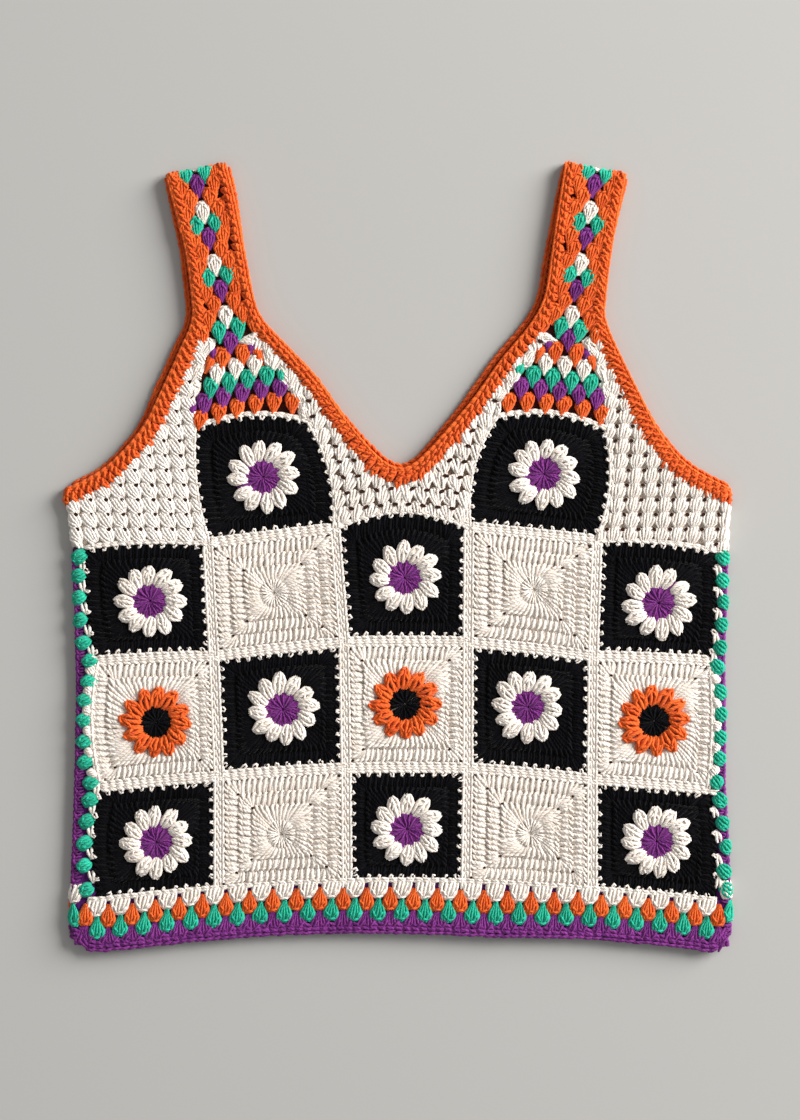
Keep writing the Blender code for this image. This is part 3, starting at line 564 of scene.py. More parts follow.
def square_edges(row, column):
    """Lower, right, upper and left edge of a square, each from left to right or from top to bottom."""
    if row == 1:
        top = LEFT_CUP_CORNERS if column == 2 else RIGHT_CUP_CORNERS
        left_bow, right_bow = LEFT_CUP_BOWS if column == 2 else RIGHT_CUP_BOWS
        bottom = SQUARE_ROWS[0][column - 1:column + 1]
        lower = bowed_edge(*bottom, CHEST_BOWS[column - 1])
        upper = bowed_edge(*top, CUP_TOP_BOW)
    else:
        top = SQUARE_ROWS[row - 2][column - 1:column + 1]
        bottom = SQUARE_ROWS[row - 1][column - 1:column + 1]
        upper = bowed_edge(*top, CHEST_BOWS[column - 1] if row == 2 else LOWER_BOW)
        lower = bowed_edge(*bottom, LOWER_BOW)
        left_bow = LEFT_SIDE_BOWS[row - 2] if column == 1 else 0.0
        right_bow = RIGHT_SIDE_BOWS[row - 2] if column == 5 else 0.0
    right = bowed_edge(top[1], bottom[1], right_bow)
    left = bowed_edge(top[0], bottom[0], -left_bow)
    return lower, right, upper, left


def body_x(side, y):
    """Where the body ends on one side at the height y."""
    edge = np.array(BODY_EDGES[side])[::-1] * MM
    return np.interp(y, edge[:, 1], edge[:, 0])


class Edging:
    """An edging on the front: its rim, and the line where it joins the cloth."""

    def __init__(self, table, cloth_side):
        curve = smooth_curve(table)
        self.rim = curve[:, :2]
        self.join = curve[:, :2] + curve[:, 2:3] * across(curve, cloth_side)

    def strap(self, from_end):
        """Rim and joining points at the strap's rows, from the fold down to where the strap ends."""
        half = len(self.rim) // 2
        part = slice(half, None) if from_end else slice(0, half)
        top_rim, top_join = (line[-1 if from_end else 0, 1] for line in (self.rim, self.join))
        found = []
        for k in range(STRAP_ROWS + 1):
            share = k / STRAP_ROWS
            found.append((at_level(self.rim[part], top_rim + (STRAP_SPLIT_Y - top_rim) * share),
                          at_level(self.join[part], top_join + (STRAP_SPLIT_Y - top_join) * share)))
        return found

    def below(self, start, end, count):
        """Rim and joining points between two strap ends, or from a strap end to the edging's own end."""
        found = []
        for line, k in ((self.rim, 0), (self.join, 1)):
            first = int(np.argmin(np.linalg.norm(line - start[k], axis=1)))
            last = len(line) - 1 if end is None else int(np.argmin(np.linalg.norm(line - end[k], axis=1)))
            ends = [start[k][None], line[first + 1:last]]
            ends.append(line[last][None] if end is None else end[k][None])
            found.append(spread(np.vstack(ends), count + 1))
        return list(zip(found[0], found[1]))[1:]


def shoulder_direction(side):
    """Direction in which a strap runs into its shoulder fold: side is -1 on the left, 1 on the right."""
    return np.array([side * STRAP_SLOPE, math.sqrt(1 - STRAP_SLOPE ** 2)])


def joins(stations):
    """Points where an edging joins the cloth."""
    return np.array([join for _, join in stations])


NECK = Edging(NECK_RIM, -1)
ARM = {-1: Edging(LEFT_ARMHOLE_RIM, 1), 1: Edging(RIGHT_ARMHOLE_RIM, -1)}
STRAP_NECK = {-1: NECK.strap(False), 1: NECK.strap(True)}
STRAP_ARM = {side: ARM[side].strap(False) for side in (-1, 1)}
V_STATIONS = NECK.below(STRAP_NECK[-1][-1], STRAP_NECK[1][-1], NECK_STATIONS)
SCYE = {side: ARM[side].below(STRAP_ARM[side][-1], None, ARMHOLE_STATIONS) for side in (-1, 1)}


# Materials

def new_material(name, roughness, specular, sheen):
    """Make a material. Returns it, its node tree and its shader."""
    material = bpy.data.materials.new(name)
    material.use_nodes = True
    shader = material.node_tree.nodes["Principled BSDF"]
    shader.inputs["Roughness"].default_value = roughness
    shader.inputs["Specular IOR Level"].default_value = specular
    shader.inputs["Sheen Weight"].default_value = sheen
    return material, material.node_tree, shader


def node(tree, kind, **inputs):
    """Add a shader node with some of its inputs set."""
    made = tree.nodes.new(kind)
    for key, value in inputs.items():
        made.inputs[key].default_value = value
    return made


def texture(tree, kind, **inputs):
    """Add a texture node that runs through the space of the object."""
    made = node(tree, kind, **inputs)
    space = tree.nodes.new("ShaderNodeTexCoord")
    tree.links.new(space.outputs["Object"], made.inputs["Vector"])
    return made


def math_node(tree, operation, *values):
    """Add a math node over sockets or numbers and return its result."""
    made = tree.nodes.new("ShaderNodeMath")
    made.operation = operation
    for socket, value in zip(made.inputs, values):
        if isinstance(value, (int, float)):
            socket.default_value = value
        else:
            tree.links.new(value, socket)
    return made.outputs[0]


def weighted(tree, start, causes):
    """Add sockets, each times its own share, to a start value."""
    total = start
    for source, share in causes:
        total = math_node(tree, "ADD", total, math_node(tree, "MULTIPLY", source, share))
    return total


def color_and_bump(tree, shader, light, dark, amount, height, **bump_inputs):
    """Mix two colours by an amount, and raise the surface by a height."""
    mix = tree.nodes.new("ShaderNodeMix")
    mix.data_type = "RGBA"
    mix.inputs[6].default_value = dark + (1.0,)
    mix.inputs[7].default_value = light + (1.0,)
    tree.links.new(amount, mix.inputs[0])
    tree.links.new(mix.outputs[2], shader.inputs["Base Color"])
    bump = node(tree, "ShaderNodeBump", **bump_inputs)
    tree.links.new(height, bump.inputs["Height"])
    tree.links.new(bump.outputs[0], shader.inputs["Normal"])


def yarn_material(color):
    """Plied cotton yarn: twisted plies along each strand with painted shade in the grooves between them,
    soft fibres and an uneven dye.
    """
    light, dark, sheen = YARNS[color]
    specular = BLACK_SPECULAR if color == "black" else YARN_SPECULAR
    material, tree, shader = new_material(color + "_yarn", YARN_ROUGHNESS, specular, sheen)
    shader.inputs["Sheen Roughness"].default_value = SHEEN_ROUGHNESS
    along = tree.nodes.new("ShaderNodeUVMap")
    along.uv_map = "yarn"
    split = tree.nodes.new("ShaderNodeSeparateXYZ")
    tree.links.new(along.outputs[0], split.inputs[0])
    turn = math_node(tree, "MULTIPLY", split.outputs[1], PLIES * 2 * math.pi)
    length = math_node(tree, "MULTIPLY", split.outputs[0], 2 * math.pi / PLY_LENGTH)
    ply = math_node(tree, "SINE", math_node(tree, "ADD", turn, length))
    fibre = texture(tree, "ShaderNodeTexNoise", Scale=2600.0, Detail=2.0).outputs["Fac"]
    dye = texture(tree, "ShaderNodeTexNoise", Scale=95.0, Detail=2.0).outputs["Fac"]
    tone = tree.nodes.new("ShaderNodeAttribute")
    tone.attribute_name = "tone"
    start = math_node(tree, "SUBTRACT", tone.outputs["Fac"], TONE_MIDDLE)
    # The ply wave also darkens the colour: painted shade in the grooves between the plies
    amount = weighted(tree, start, ((ply, PLY_GROOVE_SHADE), (dye, DYE_SHADE), (fibre, FIBRE_SHADE)))
    height = weighted(tree, fibre, ((ply, 0.5),))
    color_and_bump(tree, shader, light, dark, amount, height, Strength=0.75, Distance=0.22 * MM)
    return material


def ground_material(name, light, dark):
    """Cloth under the stitches: matted fibres and the dark between them. Its colours are painted shade where
    it shows between strands.
    """
    material, tree, shader = new_material(name, roughness=0.95, specular=0.1, sheen=0.04)
    knots = texture(tree, "ShaderNodeTexVoronoi", Scale=420.0).outputs["Distance"]
    fibre = texture(tree, "ShaderNodeTexNoise", Scale=1800.0, Detail=3.0).outputs["Fac"]
    amount = weighted(tree, knots, ((fibre, 0.5),))
    color_and_bump(tree, shader, light, dark, amount, amount, Strength=0.8, Distance=0.5 * MM)
    return material


YARN = {color: yarn_material(color) for color in YARNS}
GROUND = {name: ground_material(name + "_cloth", *entry) for name, entry in GROUNDS.items()}


# Ground cloth

def add_mesh(name, mesh, material):
    """Put a mesh with smooth faces and one material into the scene, fixed to the vest's body."""
    mesh.materials.append(material)
    mesh.shade_smooth()
    made = bpy.data.objects.new(name, mesh)
    bpy.context.scene.collection.objects.link(made)
    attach(made, "root")
    return made


def add_object(name, vertices, faces, material):
    """Add a mesh object made from lists of vertices and faces."""
    mesh = bpy.data.meshes.new(name)
    mesh.from_pydata([tuple(v) for v in vertices], [], faces)
    return add_mesh(name, mesh, material)


def faces_out(vertices, faces):
    """Turn all faces round if the wall they close is inside out."""
    volume = 0.0
    for face in faces:
        for k in range(1, len(face) - 1):
            a, b, c = vertices[face[0]], vertices[face[k]], vertices[face[k + 1]]
            volume += np.dot(a, np.cross(b, c))
    if volume < 0:
        return [tuple(reversed(face)) for face in faces]
    return faces


def front_points(points):
    """Middle of the front wall over points of the plan, with upward normals."""
    points = np.asarray(points)
    z = Z_FRONT + rise(points[:, 0], points[:, 1])
    return np.column_stack([points[:, 0], points[:, 1], z]), np.tile([0.0, 0.0, 1.0], (len(points), 1))


def back_points(points, shifted=False):
    """Middle of the back wall under points of the plan, with downward normals."""
    points = np.asarray(points)
    x = points[:, 0] + (back_offset(points[:, 1]) if shifted else 0.0)
    middle = np.column_stack([x, points[:, 1], np.full(len(points), Z_BACK)])
    return middle, np.tile([0.0, 0.0, -1.0], (len(points), 1))


def fold_points(points, outward, share):
    """One line of a fold that turns from the front wall into the back one."""
    points = np.asarray(points)
    angle = math.pi * share
    reach = FOLD_RADIUS * math.sin(angle)
    middle = np.column_stack([points + reach * np.asarray(outward),
                              np.full(len(points), Z_FOLD + FOLD_RADIUS * math.cos(angle))])
    flat = math.sin(angle) * np.asarray(outward)
    return middle, np.tile([flat[0], flat[1], math.cos(angle)], (len(points), 1))


def cloth_from_rows(name, ground, rows, closed=False):
    """Thin cloth around a grid of middle points, given as rows of (points, normals)."""
    middle = np.array([row[0] for row in rows])
    normal = np.array([row[1] for row in rows])
    count, width = middle.shape[:2]
    down = np.clip(-normal[..., 2:], 0.0, 1.0)
    outer = middle + normal * (GROUND_WALL / 2 + (SOLID_WALL - GROUND_WALL) / 2 * down)
    inner = middle - normal * GROUND_WALL / 2
    vertices = np.concatenate([outer.reshape(-1, 3), inner.reshape(-1, 3)])
    half = count * width
    faces = []
    for i in range(count if closed else count - 1):
        n = (i + 1) % count
        for j in range(width - 1):
            a, b, c, d = i * width + j, i * width + j + 1, n * width + j + 1, n * width + j
            faces.append((a, b, c, d))
            faces.append((half + d, half + c, half + b, half + a))
        for j, k in ((i * width, n * width), (n * width + width - 1, i * width + width - 1)):
            faces.append((j, k, half + k, half + j))
    if not closed:
        end = (count - 1) * width
        for j in range(width - 1):
            faces.append((j + 1, j, half + j, half + j + 1))
            faces.append((end + j, end + j + 1, half + end + j + 1, half + end + j))
    return add_object(name, vertices, faces_out(vertices, faces), GROUND[ground])


def shrink(outline, distance):
    """Move the points of an anticlockwise outline inward, or outward if the distance is negative."""
    before = outline - np.roll(outline, 1, axis=0)
    after = np.roll(outline, -1, axis=0) - outline
    before = before / (np.linalg.norm(before, axis=1)[:, None] + TINY)
    after = after / (np.linalg.norm(after, axis=1)[:, None] + TINY)
    middle = np.stack([-(before + after)[:, 1], (before + after)[:, 0]], axis=1)
    middle /= np.linalg.norm(middle, axis=1)[:, None] + TINY
    return outline + middle * distance


def inside_grid(outline, step):
    """Points on a grid inside an outline, kept clear of its edge."""
    low = outline.min(axis=0) + step / 2
    high = outline.max(axis=0)
    xs, ys = np.meshgrid(np.arange(low[0], high[0], step), np.arange(low[1], high[1], step))
    points = np.stack([xs.ravel(), ys.ravel()], axis=1)
    return points[inside(outline, points) & (distance_to(outline, points) > step * EDGE_CLEARANCE)]


def inside(outline, points):
    """Whether each point lies inside a closed outline."""
    x, y = points[:, 0], points[:, 1]
    crossings = np.zeros(len(points), dtype=int)
    for a, b in zip(outline, np.roll(outline, -1, axis=0)):
        spans = (a[1] > y) != (b[1] > y)
        with np.errstate(divide="ignore", invalid="ignore"):
            reach = a[0] + (y - a[1]) / (b[1] - a[1]) * (b[0] - a[0])
        crossings += spans & (x < reach)
    return crossings % 2 == 1


def distance_to(outline, points):
    """Distance from each point to a closed outline."""
    nearest = np.full(len(points), np.inf)
    for a, b in zip(outline, np.roll(outline, -1, axis=0)):
        run = b - a
        t = np.clip((points - a) @ run / max(run @ run, TINY), 0.0, 1.0)
        nearest = np.minimum(nearest, np.linalg.norm(points - a - t[:, None] * run, axis=1))
    return nearest


def cloth_from_outline(name, ground, outline, step, wall=GROUND_WALL, middle_z=None):
    """Thin cloth over an outline of the plan, on the front layer or at a height of its own."""
    plan = np.vstack([outline, inside_grid(outline, step)])
    ring = list(range(len(outline)))
    found = geometry.delaunay_2d_cdt([tuple(p / MM) for p in plan], [], [ring], 1, SAME_POINT)
    origin = [ids[0] for ids in found[3]]
    tops = [tuple(origin[v] for v in face) for face in found[2]]
    total = len(plan)
    z = Z_FRONT + rise(plan[:, 0], plan[:, 1]) if middle_z is None else np.full(total, middle_z)
    vertices = np.vstack([np.column_stack([plan, z + wall / 2]), np.column_stack([plan, z - wall / 2])])
    faces = tops + [tuple(total + v for v in reversed(face)) for face in tops]
    for k in range(len(outline)):
        n = (k + 1) % len(outline)
        faces.append((n, k, total + k, total + n))
    return add_object(name, vertices, faces_out(vertices, faces), GROUND[ground])


# Strands of yarn

class Strands:
    """Strands of one colour that make up one piece."""

    def __init__(self, name, sides=5):
        self.name = name
        self.sides = sides
        self.vertices = []
        self.faces = []
        self.coordinates = []
        self.tones = []
        self.count = 0

    def add(self, paths, radii, tone):
        """Add tubes along paths of shape (strands, points, 3). The tone is one number per strand."""
        total, steps = paths.shape[:2]
        if total == 0:
            return
        tangent = np.gradient(paths, axis=1)
        tangent /= np.linalg.norm(tangent, axis=2)[..., None] + TINY
        side = np.cross(tangent, np.array([0.0, 0.0, 1.0]))
        upright = np.linalg.norm(side, axis=2) < UPRIGHT
        side[upright] = np.cross(tangent[upright], np.array(LEVEL_DIRECTION))
        side /= np.linalg.norm(side, axis=2)[..., None]
        up = np.cross(side, tangent)
        angle = np.arange(self.sides) * 2 * math.pi / self.sides
        ring = side[:, :, None] * np.cos(angle)[:, None] + up[:, :, None] * np.sin(angle)[:, None]
        vertices = paths[:, :, None] + ring * radii[:, :, None, None]
        vertices[..., 2] = np.maximum(vertices[..., 2], FLOOR_CLEARANCE)
        index = np.arange(total * steps * self.sides).reshape(total, steps, self.sides) + self.count
        beside = np.roll(index, -1, axis=2)
        faces = np.stack([index[:, :-1], beside[:, :-1], beside[:, 1:], index[:, 1:]], axis=-1)
        self.vertices.append(vertices.reshape(-1, 3))
        self.faces.append(faces.reshape(-1, 4))
        self.coordinates.append(self.unrolled(paths, faces.shape[:3]))
        self.tones.append(np.repeat(tone, steps * self.sides))
        self.count += total * steps * self.sides

    def unrolled(self, paths, shape):
        """Texture coordinates of the tubes' faces: millimetres along a strand and the share of its round."""
        spans = np.linalg.norm(np.diff(paths, axis=1), axis=2)
        along = np.concatenate([np.zeros((len(paths), 1)), np.cumsum(spans, axis=1)], axis=1) / MM
        along = along + random.uniform(0, LATEST_START, (len(paths), 1))
        start = np.broadcast_to(along[:, :-1, None], shape)
        end = np.broadcast_to(along[:, 1:, None], shape)
        low = np.broadcast_to(np.arange(self.sides) / self.sides, shape)
        high = low + 1 / self.sides
        corners = [np.stack(pair, -1) for pair in ((start, low), (start, high), (end, high), (end, low))]
        return np.stack(corners, axis=3).reshape(-1, 2)

    def finish(self, color):
        """Make the piece's mesh object in one yarn."""
        vertices = np.concatenate(self.vertices)
        faces = np.concatenate(self.faces)
        sides = faces.shape[1]
        mesh = bpy.data.meshes.new(self.name)
        mesh.vertices.add(len(vertices))
        mesh.vertices.foreach_set("co", vertices.ravel())
        mesh.loops.add(faces.size)
        mesh.loops.foreach_set("vertex_index", faces.ravel())
        mesh.polygons.add(len(faces))
        mesh.polygons.foreach_set("loop_start", np.arange(len(faces)) * sides)
        mesh.polygons.foreach_set("loop_total", np.full(len(faces), sides))
        mesh.uv_layers.new(name="yarn")
        mesh.uv_layers["yarn"].uv.foreach_set("vector", np.concatenate(self.coordinates).ravel())
        tone = mesh.attributes.new("tone", "FLOAT", "POINT")
        tone.data.foreach_set("value", np.concatenate(self.tones))
        mesh.update(calc_edges=True)
        made = add_mesh(self.name, mesh, YARN[color])
        return made


# Stitch patterns: rows of points across, along, above the cloth and yarn radius, in each strand.
# Across is in half widths, along runs from 0 at the foot to 1 at the head, the rest is in millimetres.

POST = np.array([
    [(-0.34, -0.12, 0.0, 0.74), (-0.66, 0.20, 1.0, 1.24), (-0.50, 0.52, 1.5, 1.44), (-0.02, 0.84, 1.2, 1.24),
     (0.34, 1.12, -0.2, 0.66)],
    [(0.22, -0.12, -0.2, 0.70), (0.12, 0.22, 0.6, 1.14), (0.40, 0.54, 0.9, 1.30), (0.86, 0.84, 0.7, 1.12),
     (1.10, 1.08, -0.3, 0.60)],
    [(-1.10, 0.64, 0.5, 0.60), (-0.68, 0.76, 1.8, 0.84), (-0.14, 0.90, 2.1, 0.92), (0.42, 1.02, 1.7, 0.82),
     (0.90, 1.08, 0.2, 0.56)],
])

# The same stitch with fewer points, for black yarn
DARK_POST = np.array([
    [(-0.50, -0.08, 0.0, 0.80), (-0.56, 0.34, 1.1, 1.20), (-0.16, 0.74, 1.1, 1.16), (0.20, 1.06, 0.0, 0.70)],
    [(0.35, -0.08, -0.1, 0.78), (0.52, 0.36, 0.8, 1.12), (0.82, 0.74, 0.8, 1.04), (1.00, 1.04, -0.1, 0.64)],
    [(-1.00, 0.60, 0.4, 0.62), (-0.48, 0.76, 1.8, 0.86), (0.12, 0.92, 1.9, 0.84), (0.72, 1.04, 0.6, 0.62)],
])

PLAIT = np.array([
    [(-1.30, -0.30, 0.2, 0.80), (-1.24, 0.08, 1.0, 1.18), (-0.96, 0.44, 1.2, 1.30), (-0.60, 0.80, 0.9, 1.10),
     (-0.30, 1.14, 0.0, 0.70)],
    [(1.30, -0.30, 0.1, 0.80), (1.24, 0.08, 0.8, 1.18), (0.96, 0.44, 1.0, 1.30), (0.60, 0.80, 0.7, 1.10),
     (0.30, 1.14, -0.1, 0.70)],
])

# Edging stitch: its pointed foot reaches into the cloth and its strands slant over each other
SINGLE = np.array([
    [(0.00, -0.08, 0.2, 0.45), (-0.26, 0.20, 1.2, 1.14), (-0.52, 0.50, 1.7, 1.42), (-0.44, 0.80, 1.4, 1.26),
     (-0.14, 1.08, 0.3, 0.80)],
    [(0.12, 0.00, 0.1, 0.45), (0.34, 0.26, 0.9, 1.06), (0.54, 0.54, 1.3, 1.30), (0.70, 0.82, 1.1, 1.16),
     (0.88, 1.08, 0.2, 0.72)],
    [(-1.05, 0.54, 0.6, 0.72), (-0.55, 0.60, 2.3, 1.02), (0.02, 0.72, 2.7, 1.12), (0.54, 0.90, 2.1, 1.00),
     (0.94, 1.08, 0.5, 0.70)],
])

LEG = np.array([
    [(-0.30, -0.10, 0.2, 0.62), (-0.50, 0.30, 1.0, 0.86), (-0.36, 0.66, 1.0, 0.86), (0.00, 1.02, 0.3, 0.64)],
    [(0.60, -0.05, 0.2, 0.62), (0.62, 0.30, 0.8, 0.84), (0.45, 0.65, 0.9, 0.82), (0.20, 1.02, 0.3, 0.64)],
])

LEAF = np.array([
    [(0.10, 0.00, 0.0, 0.80), (-0.35, 0.32, 0.9, 1.30), (-0.10, 0.66, 1.1, 1.36), (0.35, 1.00, 0.3, 0.90)],
])

# A small loop that stands over the neighbouring colour
PICOT = np.array([
    [(-0.55, -0.20, 0.6, 0.74), (-0.84, 0.42, 1.8, 0.92), (-0.30, 0.98, 2.0, 0.96), (0.42, 0.92, 1.9, 0.94),
     (0.74, 0.40, 1.6, 0.88), (0.45, -0.20, 0.6, 0.74)],
])

RAY = np.array([
    [(0.0, 0.04, 0.2, 0.46), (0.16, 0.30, 0.9, 0.62), (-0.16, 0.60, 1.2, 0.74), (0.12, 0.86, 1.0, 0.74),
     (0.0, 1.05, -0.2, 0.56)],
])

STAR_RAY = np.array([
    [(0.0, 0.06, 0.5, 0.30), (0.06, 0.30, 1.0, 0.54), (-0.06, 0.58, 1.5, 0.82), (0.05, 0.84, 1.7, 1.00),
     (0.0, 1.03, 0.8, 0.76)],
])


def bundle(shares, widths, heights, core, over, twist=0.0, dome=0.0):
    """Pattern of a plump cluster: thick strands side by side, given as count, height above the cloth and
    radius, and thinner ones that slant over them. With a dome the outer strands end lower."""
    found = []
    for (count, top, radius), slant in ((core, 0.0), (over, twist)):
        for a in -1 + 2 * (np.arange(count) + 0.5) / count:
            across_it = [a * w + slant * (b - 0.5) for b, w in zip(shares, widths)]
            along = [b * (1 - dome * a * a) for b in shares]
            above = [top * h * (1 - CROWN * a * a) for h in heights]
            thick = [radius * (THIN_SHARE + (1 - THIN_SHARE) * min(w, 1.0)) for w in widths]
            found.append(list(zip(across_it, along, above, thick)))
    return np.array(found)


def wraps(table):
    """Short strands that cross a cluster: start and end across and along, height over its sides."""
    found = []
    for a0, b0, a1, b1, top in table:
        ends = (top - WRAP_DROP, WRAP_ENDS)
        middle = (top, WRAP_MIDDLE)
        found.append([(a0 + (a1 - a0) * t, b0 + (b1 - b0) * t) + rest
                      for t, rest in ((0.0, ends), (0.33, middle), (0.67, middle), (1.0, ends))])
    return np.array(found)


CLUSTER = bundle((-0.03, 0.16, 0.38, 0.60, 0.80, 0.99), (0.05, 0.34, 0.72, 0.98, 0.92, 0.58),
                 (0.75, 0.85, 1.0, 0.95, 0.70, 0.15), (4, 1.2, 1.70), (5, 2.8, 1.02), twist=0.35)
CLUSTER_WRAPS = wraps(((-0.80, 0.50, -0.16, 0.84, 2.9), (0.74, 0.46, 0.22, 0.80, 2.9),
                       (-0.46, 0.86, 0.42, 0.92, 2.4)))
PETAL = bundle((0.00, 0.17, 0.40, 0.62, 0.84, 1.10), (0.30, 0.66, 0.96, 1.06, 0.80, 0.14),
               (0.30, 0.80, 1.0, 1.0, 0.85, 0.45), (3, 1.5, 1.85), (3, 2.9, 1.34), twist=0.65)
PETAL_WRAPS = wraps(((-0.70, 0.40, 0.10, 0.80, 3.3), (0.66, 0.36, 0.24, 0.72, 3.3),
                     (-0.40, 0.86, 0.30, 0.96, 2.9)))
TIP_PETAL = bundle((-0.03, 0.14, 0.36, 0.60, 0.82, 1.06), (0.42, 0.82, 1.04, 0.92, 0.60, 0.06),
                   (0.30, 0.80, 1.0, 0.95, 0.75, 0.20), (3, 1.5, 1.80), (3, 2.9, 1.30), twist=0.50)
PUFF = bundle((0.00, 0.17, 0.38, 0.62, 0.83, 1.00), (0.44, 0.82, 1.02, 1.02, 0.84, 0.44),
              (0.30, 0.80, 1.0, 1.0, 0.80, 0.25), (4, 1.3, 1.75), (4, 2.9, 1.14), twist=0.45)
SPLAY = bundle((-0.04, 0.20, 0.46, 0.74, 1.03), (0.16, 0.48, 0.80, 1.02, 1.12),
               (0.50, 0.95, 1.0, 0.9, 0.40), (3, 0.9, 1.55), (5, 2.4, 1.22), twist=0.10, dome=0.20)
FAN = bundle((-0.04, 0.18, 0.42, 0.72, 1.03), (0.28, 0.68, 0.94, 1.00, 0.86),
             (0.50, 0.95, 1.0, 0.85, 0.25), (4, 1.0, 1.66), (5, 2.4, 1.14), twist=0.25, dome=0.33)
HEM_FAN = bundle((-0.05, 0.24, 0.52, 0.78, 1.04), (0.10, 0.40, 0.72, 1.00, 1.04),
                 (0.3, 0.85, 1.0, 0.8, 0.0), (5, 0.9, 1.66), (6, 2.2, 1.00), twist=0.10)
HEM_FAN_WRAPS = wraps(((-0.95, 0.50, -0.30, 0.94, 2.5), (0.10, 0.42, 0.62, 0.92, 2.6)))
HEM_TOP = bundle((-0.06, 0.20, 0.44, 0.66, 0.86, 1.02), (0.92, 1.04, 1.04, 0.90, 0.62, 0.20),
                 (0.3, 0.85, 1.0, 0.95, 0.7, 0.1), (4, 1.0, 1.80), (5, 2.5, 1.06), twist=0.45)
HEM_PATTERNS = {"cream": (HEM_TOP, CLUSTER_WRAPS), "purple": (HEM_FAN, HEM_FAN_WRAPS)}


def between_points(lines, position):
    """Points of lines of shape (lines, points, ...) at positions counted in points, one row a line."""
    first = np.minimum(position.astype(int), lines.shape[1] - 2)
    part = (position - first).reshape(position.shape + (1,) * (lines.ndim - 2))
    row = np.arange(len(lines))[:, None]
    return lines[row, first] * (1 - part) + lines[row, first + 1] * part


def cut_at(outline, flat, above):
    """Cut strands where they leave an outline. Also tells which ones are long enough to stay."""
    total, steps = flat.shape[:2]
    fine = np.linspace(0, steps - 1, 4 * steps - 3)
    dense = between_points(flat, np.tile(fine, (total, 1)))
    held = inside(outline, dense.reshape(-1, 2)).reshape(total, -1)
    first = held.argmax(axis=1)
    last = len(fine) - 1 - held[:, ::-1].argmax(axis=1)
    stays = held.any(axis=1) & (last - first > SHORTEST_KEPT * len(fine))
    position = fine[first][:, None] + (fine[last] - fine[first])[:, None] * np.linspace(0, 1, steps)
    return between_points(flat, position)[stays], between_points(above, position)[stays], stays


def place(strands, pattern, foot, head, half, lift=0.0, wobble=0.16, tone=0.5, surface=None, keep=None,
          stray=0.25):
    """Lay a pattern from each foot to its head, half as wide as given and lifted by some millimetres. The
    strands wobble and their ends stray by some millimetres. They are cut at the outline keep."""
    foot = np.asarray(foot, dtype=float).reshape(-1, 2)
    head = np.asarray(head, dtype=float).reshape(-1, 2)
    total = len(foot)
    foot = foot + random.normal(0, stray, foot.shape) * MM
    head = head + random.normal(0, stray, head.shape) * MM
    half = np.broadcast_to(np.asarray(half, dtype=float), (total,))
    run = head - foot
    left = np.stack([-run[:, 1], run[:, 0]], axis=1) / np.linalg.norm(run, axis=1)[:, None]
    a, b, height, thick = (pattern[..., k] for k in range(4))
    count, steps = a.shape
    flat = (foot[:, None, None] + run[:, None, None] * b[None, :, :, None]
            - left[:, None, None] * (half[:, None, None] * a)[..., None])
    flat = flat + random.normal(0, wobble, flat.shape) * MM
    flat = flat.reshape(total * count, steps, 2)
    uneven = random.normal(0, wobble * HEIGHT_WOBBLE, (total, count, steps))
    above = ((height[None] + lift + uneven) * MM).reshape(total * count, steps)
    radii = np.tile(thick, (total, 1)) * MM
    radii = radii * random.uniform(1 - THICKNESS_SPREAD, 1 + THICKNESS_SPREAD, (total * count, 1))
    shade = np.repeat(tone + random.normal(0, STITCH_TONE_SPREAD, total), count)
    shade = shade + random.normal(0, STRAND_TONE_SPREAD, total * count)
    if keep is not None:
        flat, above, stays = cut_at(keep, flat, above)
        radii, shade = radii[stays], shade[stays]
    strands.add((surface or on_front)(flat, above), radii, shade)


def on_front(flat, above):
    """Points on the front layer."""
    z = GROUND_TOP + rise(flat[..., 0], flat[..., 1]) + above
    return np.concatenate([flat, z[..., None]], axis=-1)


def on_back_rim(flat, above):
    """Points on the inner face of the back layer, where it shows beside the front one."""
    x = flat[..., 0] + back_offset(flat[..., 1])
    return np.stack([x, flat[..., 1], BACK_WALL + above * BACK_FLATTENED], axis=-1)


def shoulder_fold(side):
    """Fold over the shoulder: how far plan points lie past it, and its outward direction."""
    outward = shoulder_direction(side)
    origin = (STRAP_ARM[side][0][0] + STRAP_NECK[side][0][0]) / 2

    def past(x, y):
        return (x - origin[0]) * outward[0] + (y - origin[1]) * outward[1]
    return past, outward


def side_fold(side):
    """Fold at the side of the body."""
    def past(x, y):
        return side * (x - body_x(side, y)) + FOLD_RADIUS + SOLID_WALL / 2
    return past, np.array([side, 0.0])


def underarm_fold(side):
    """Fold of an armhole edging under the arm."""
    station = SCYE[side][-1]
    x_fold = (station[0][0] + station[1][0]) / 2

    def past(x, y):
        return side * (x - x_fold)
    return past, np.array([side, 0.0])


def folded(folds):
    """Map from the plan to the worked cloth, where what lies past a fold turns to the back."""
    def wrap(flat, above):
        x, y = flat[..., 0], flat[..., 1]
        z = GROUND_TOP + rise(x, y) + above
        for past_fold, outward in folds:
            past = past_fold(x, y)
            share = np.clip(past / FOLD_LENGTH, 0.0, 1.0)
            radius = FOLD_RADIUS + (GROUND_TOP - Z_FRONT + above) * (1 - BACK_SQUASH * share)
            reach = radius * np.sin(share * math.pi) - np.maximum(past - FOLD_LENGTH, 0.0)
            turned = past > 0
            new_x = x + (reach - past) * outward[0]
            new_y = y + (reach - past) * outward[1]
            new_x = new_x + back_offset(new_y) * (past > FOLD_LENGTH)
            new_z = Z_FOLD + radius * np.cos(share * math.pi)
            x = np.where(turned, new_x, x)
            y = np.where(turned, new_y, y)
            z = np.where(turned, new_z, z)
        return np.stack([x, y, z], axis=-1)
    return wrap


# Squares

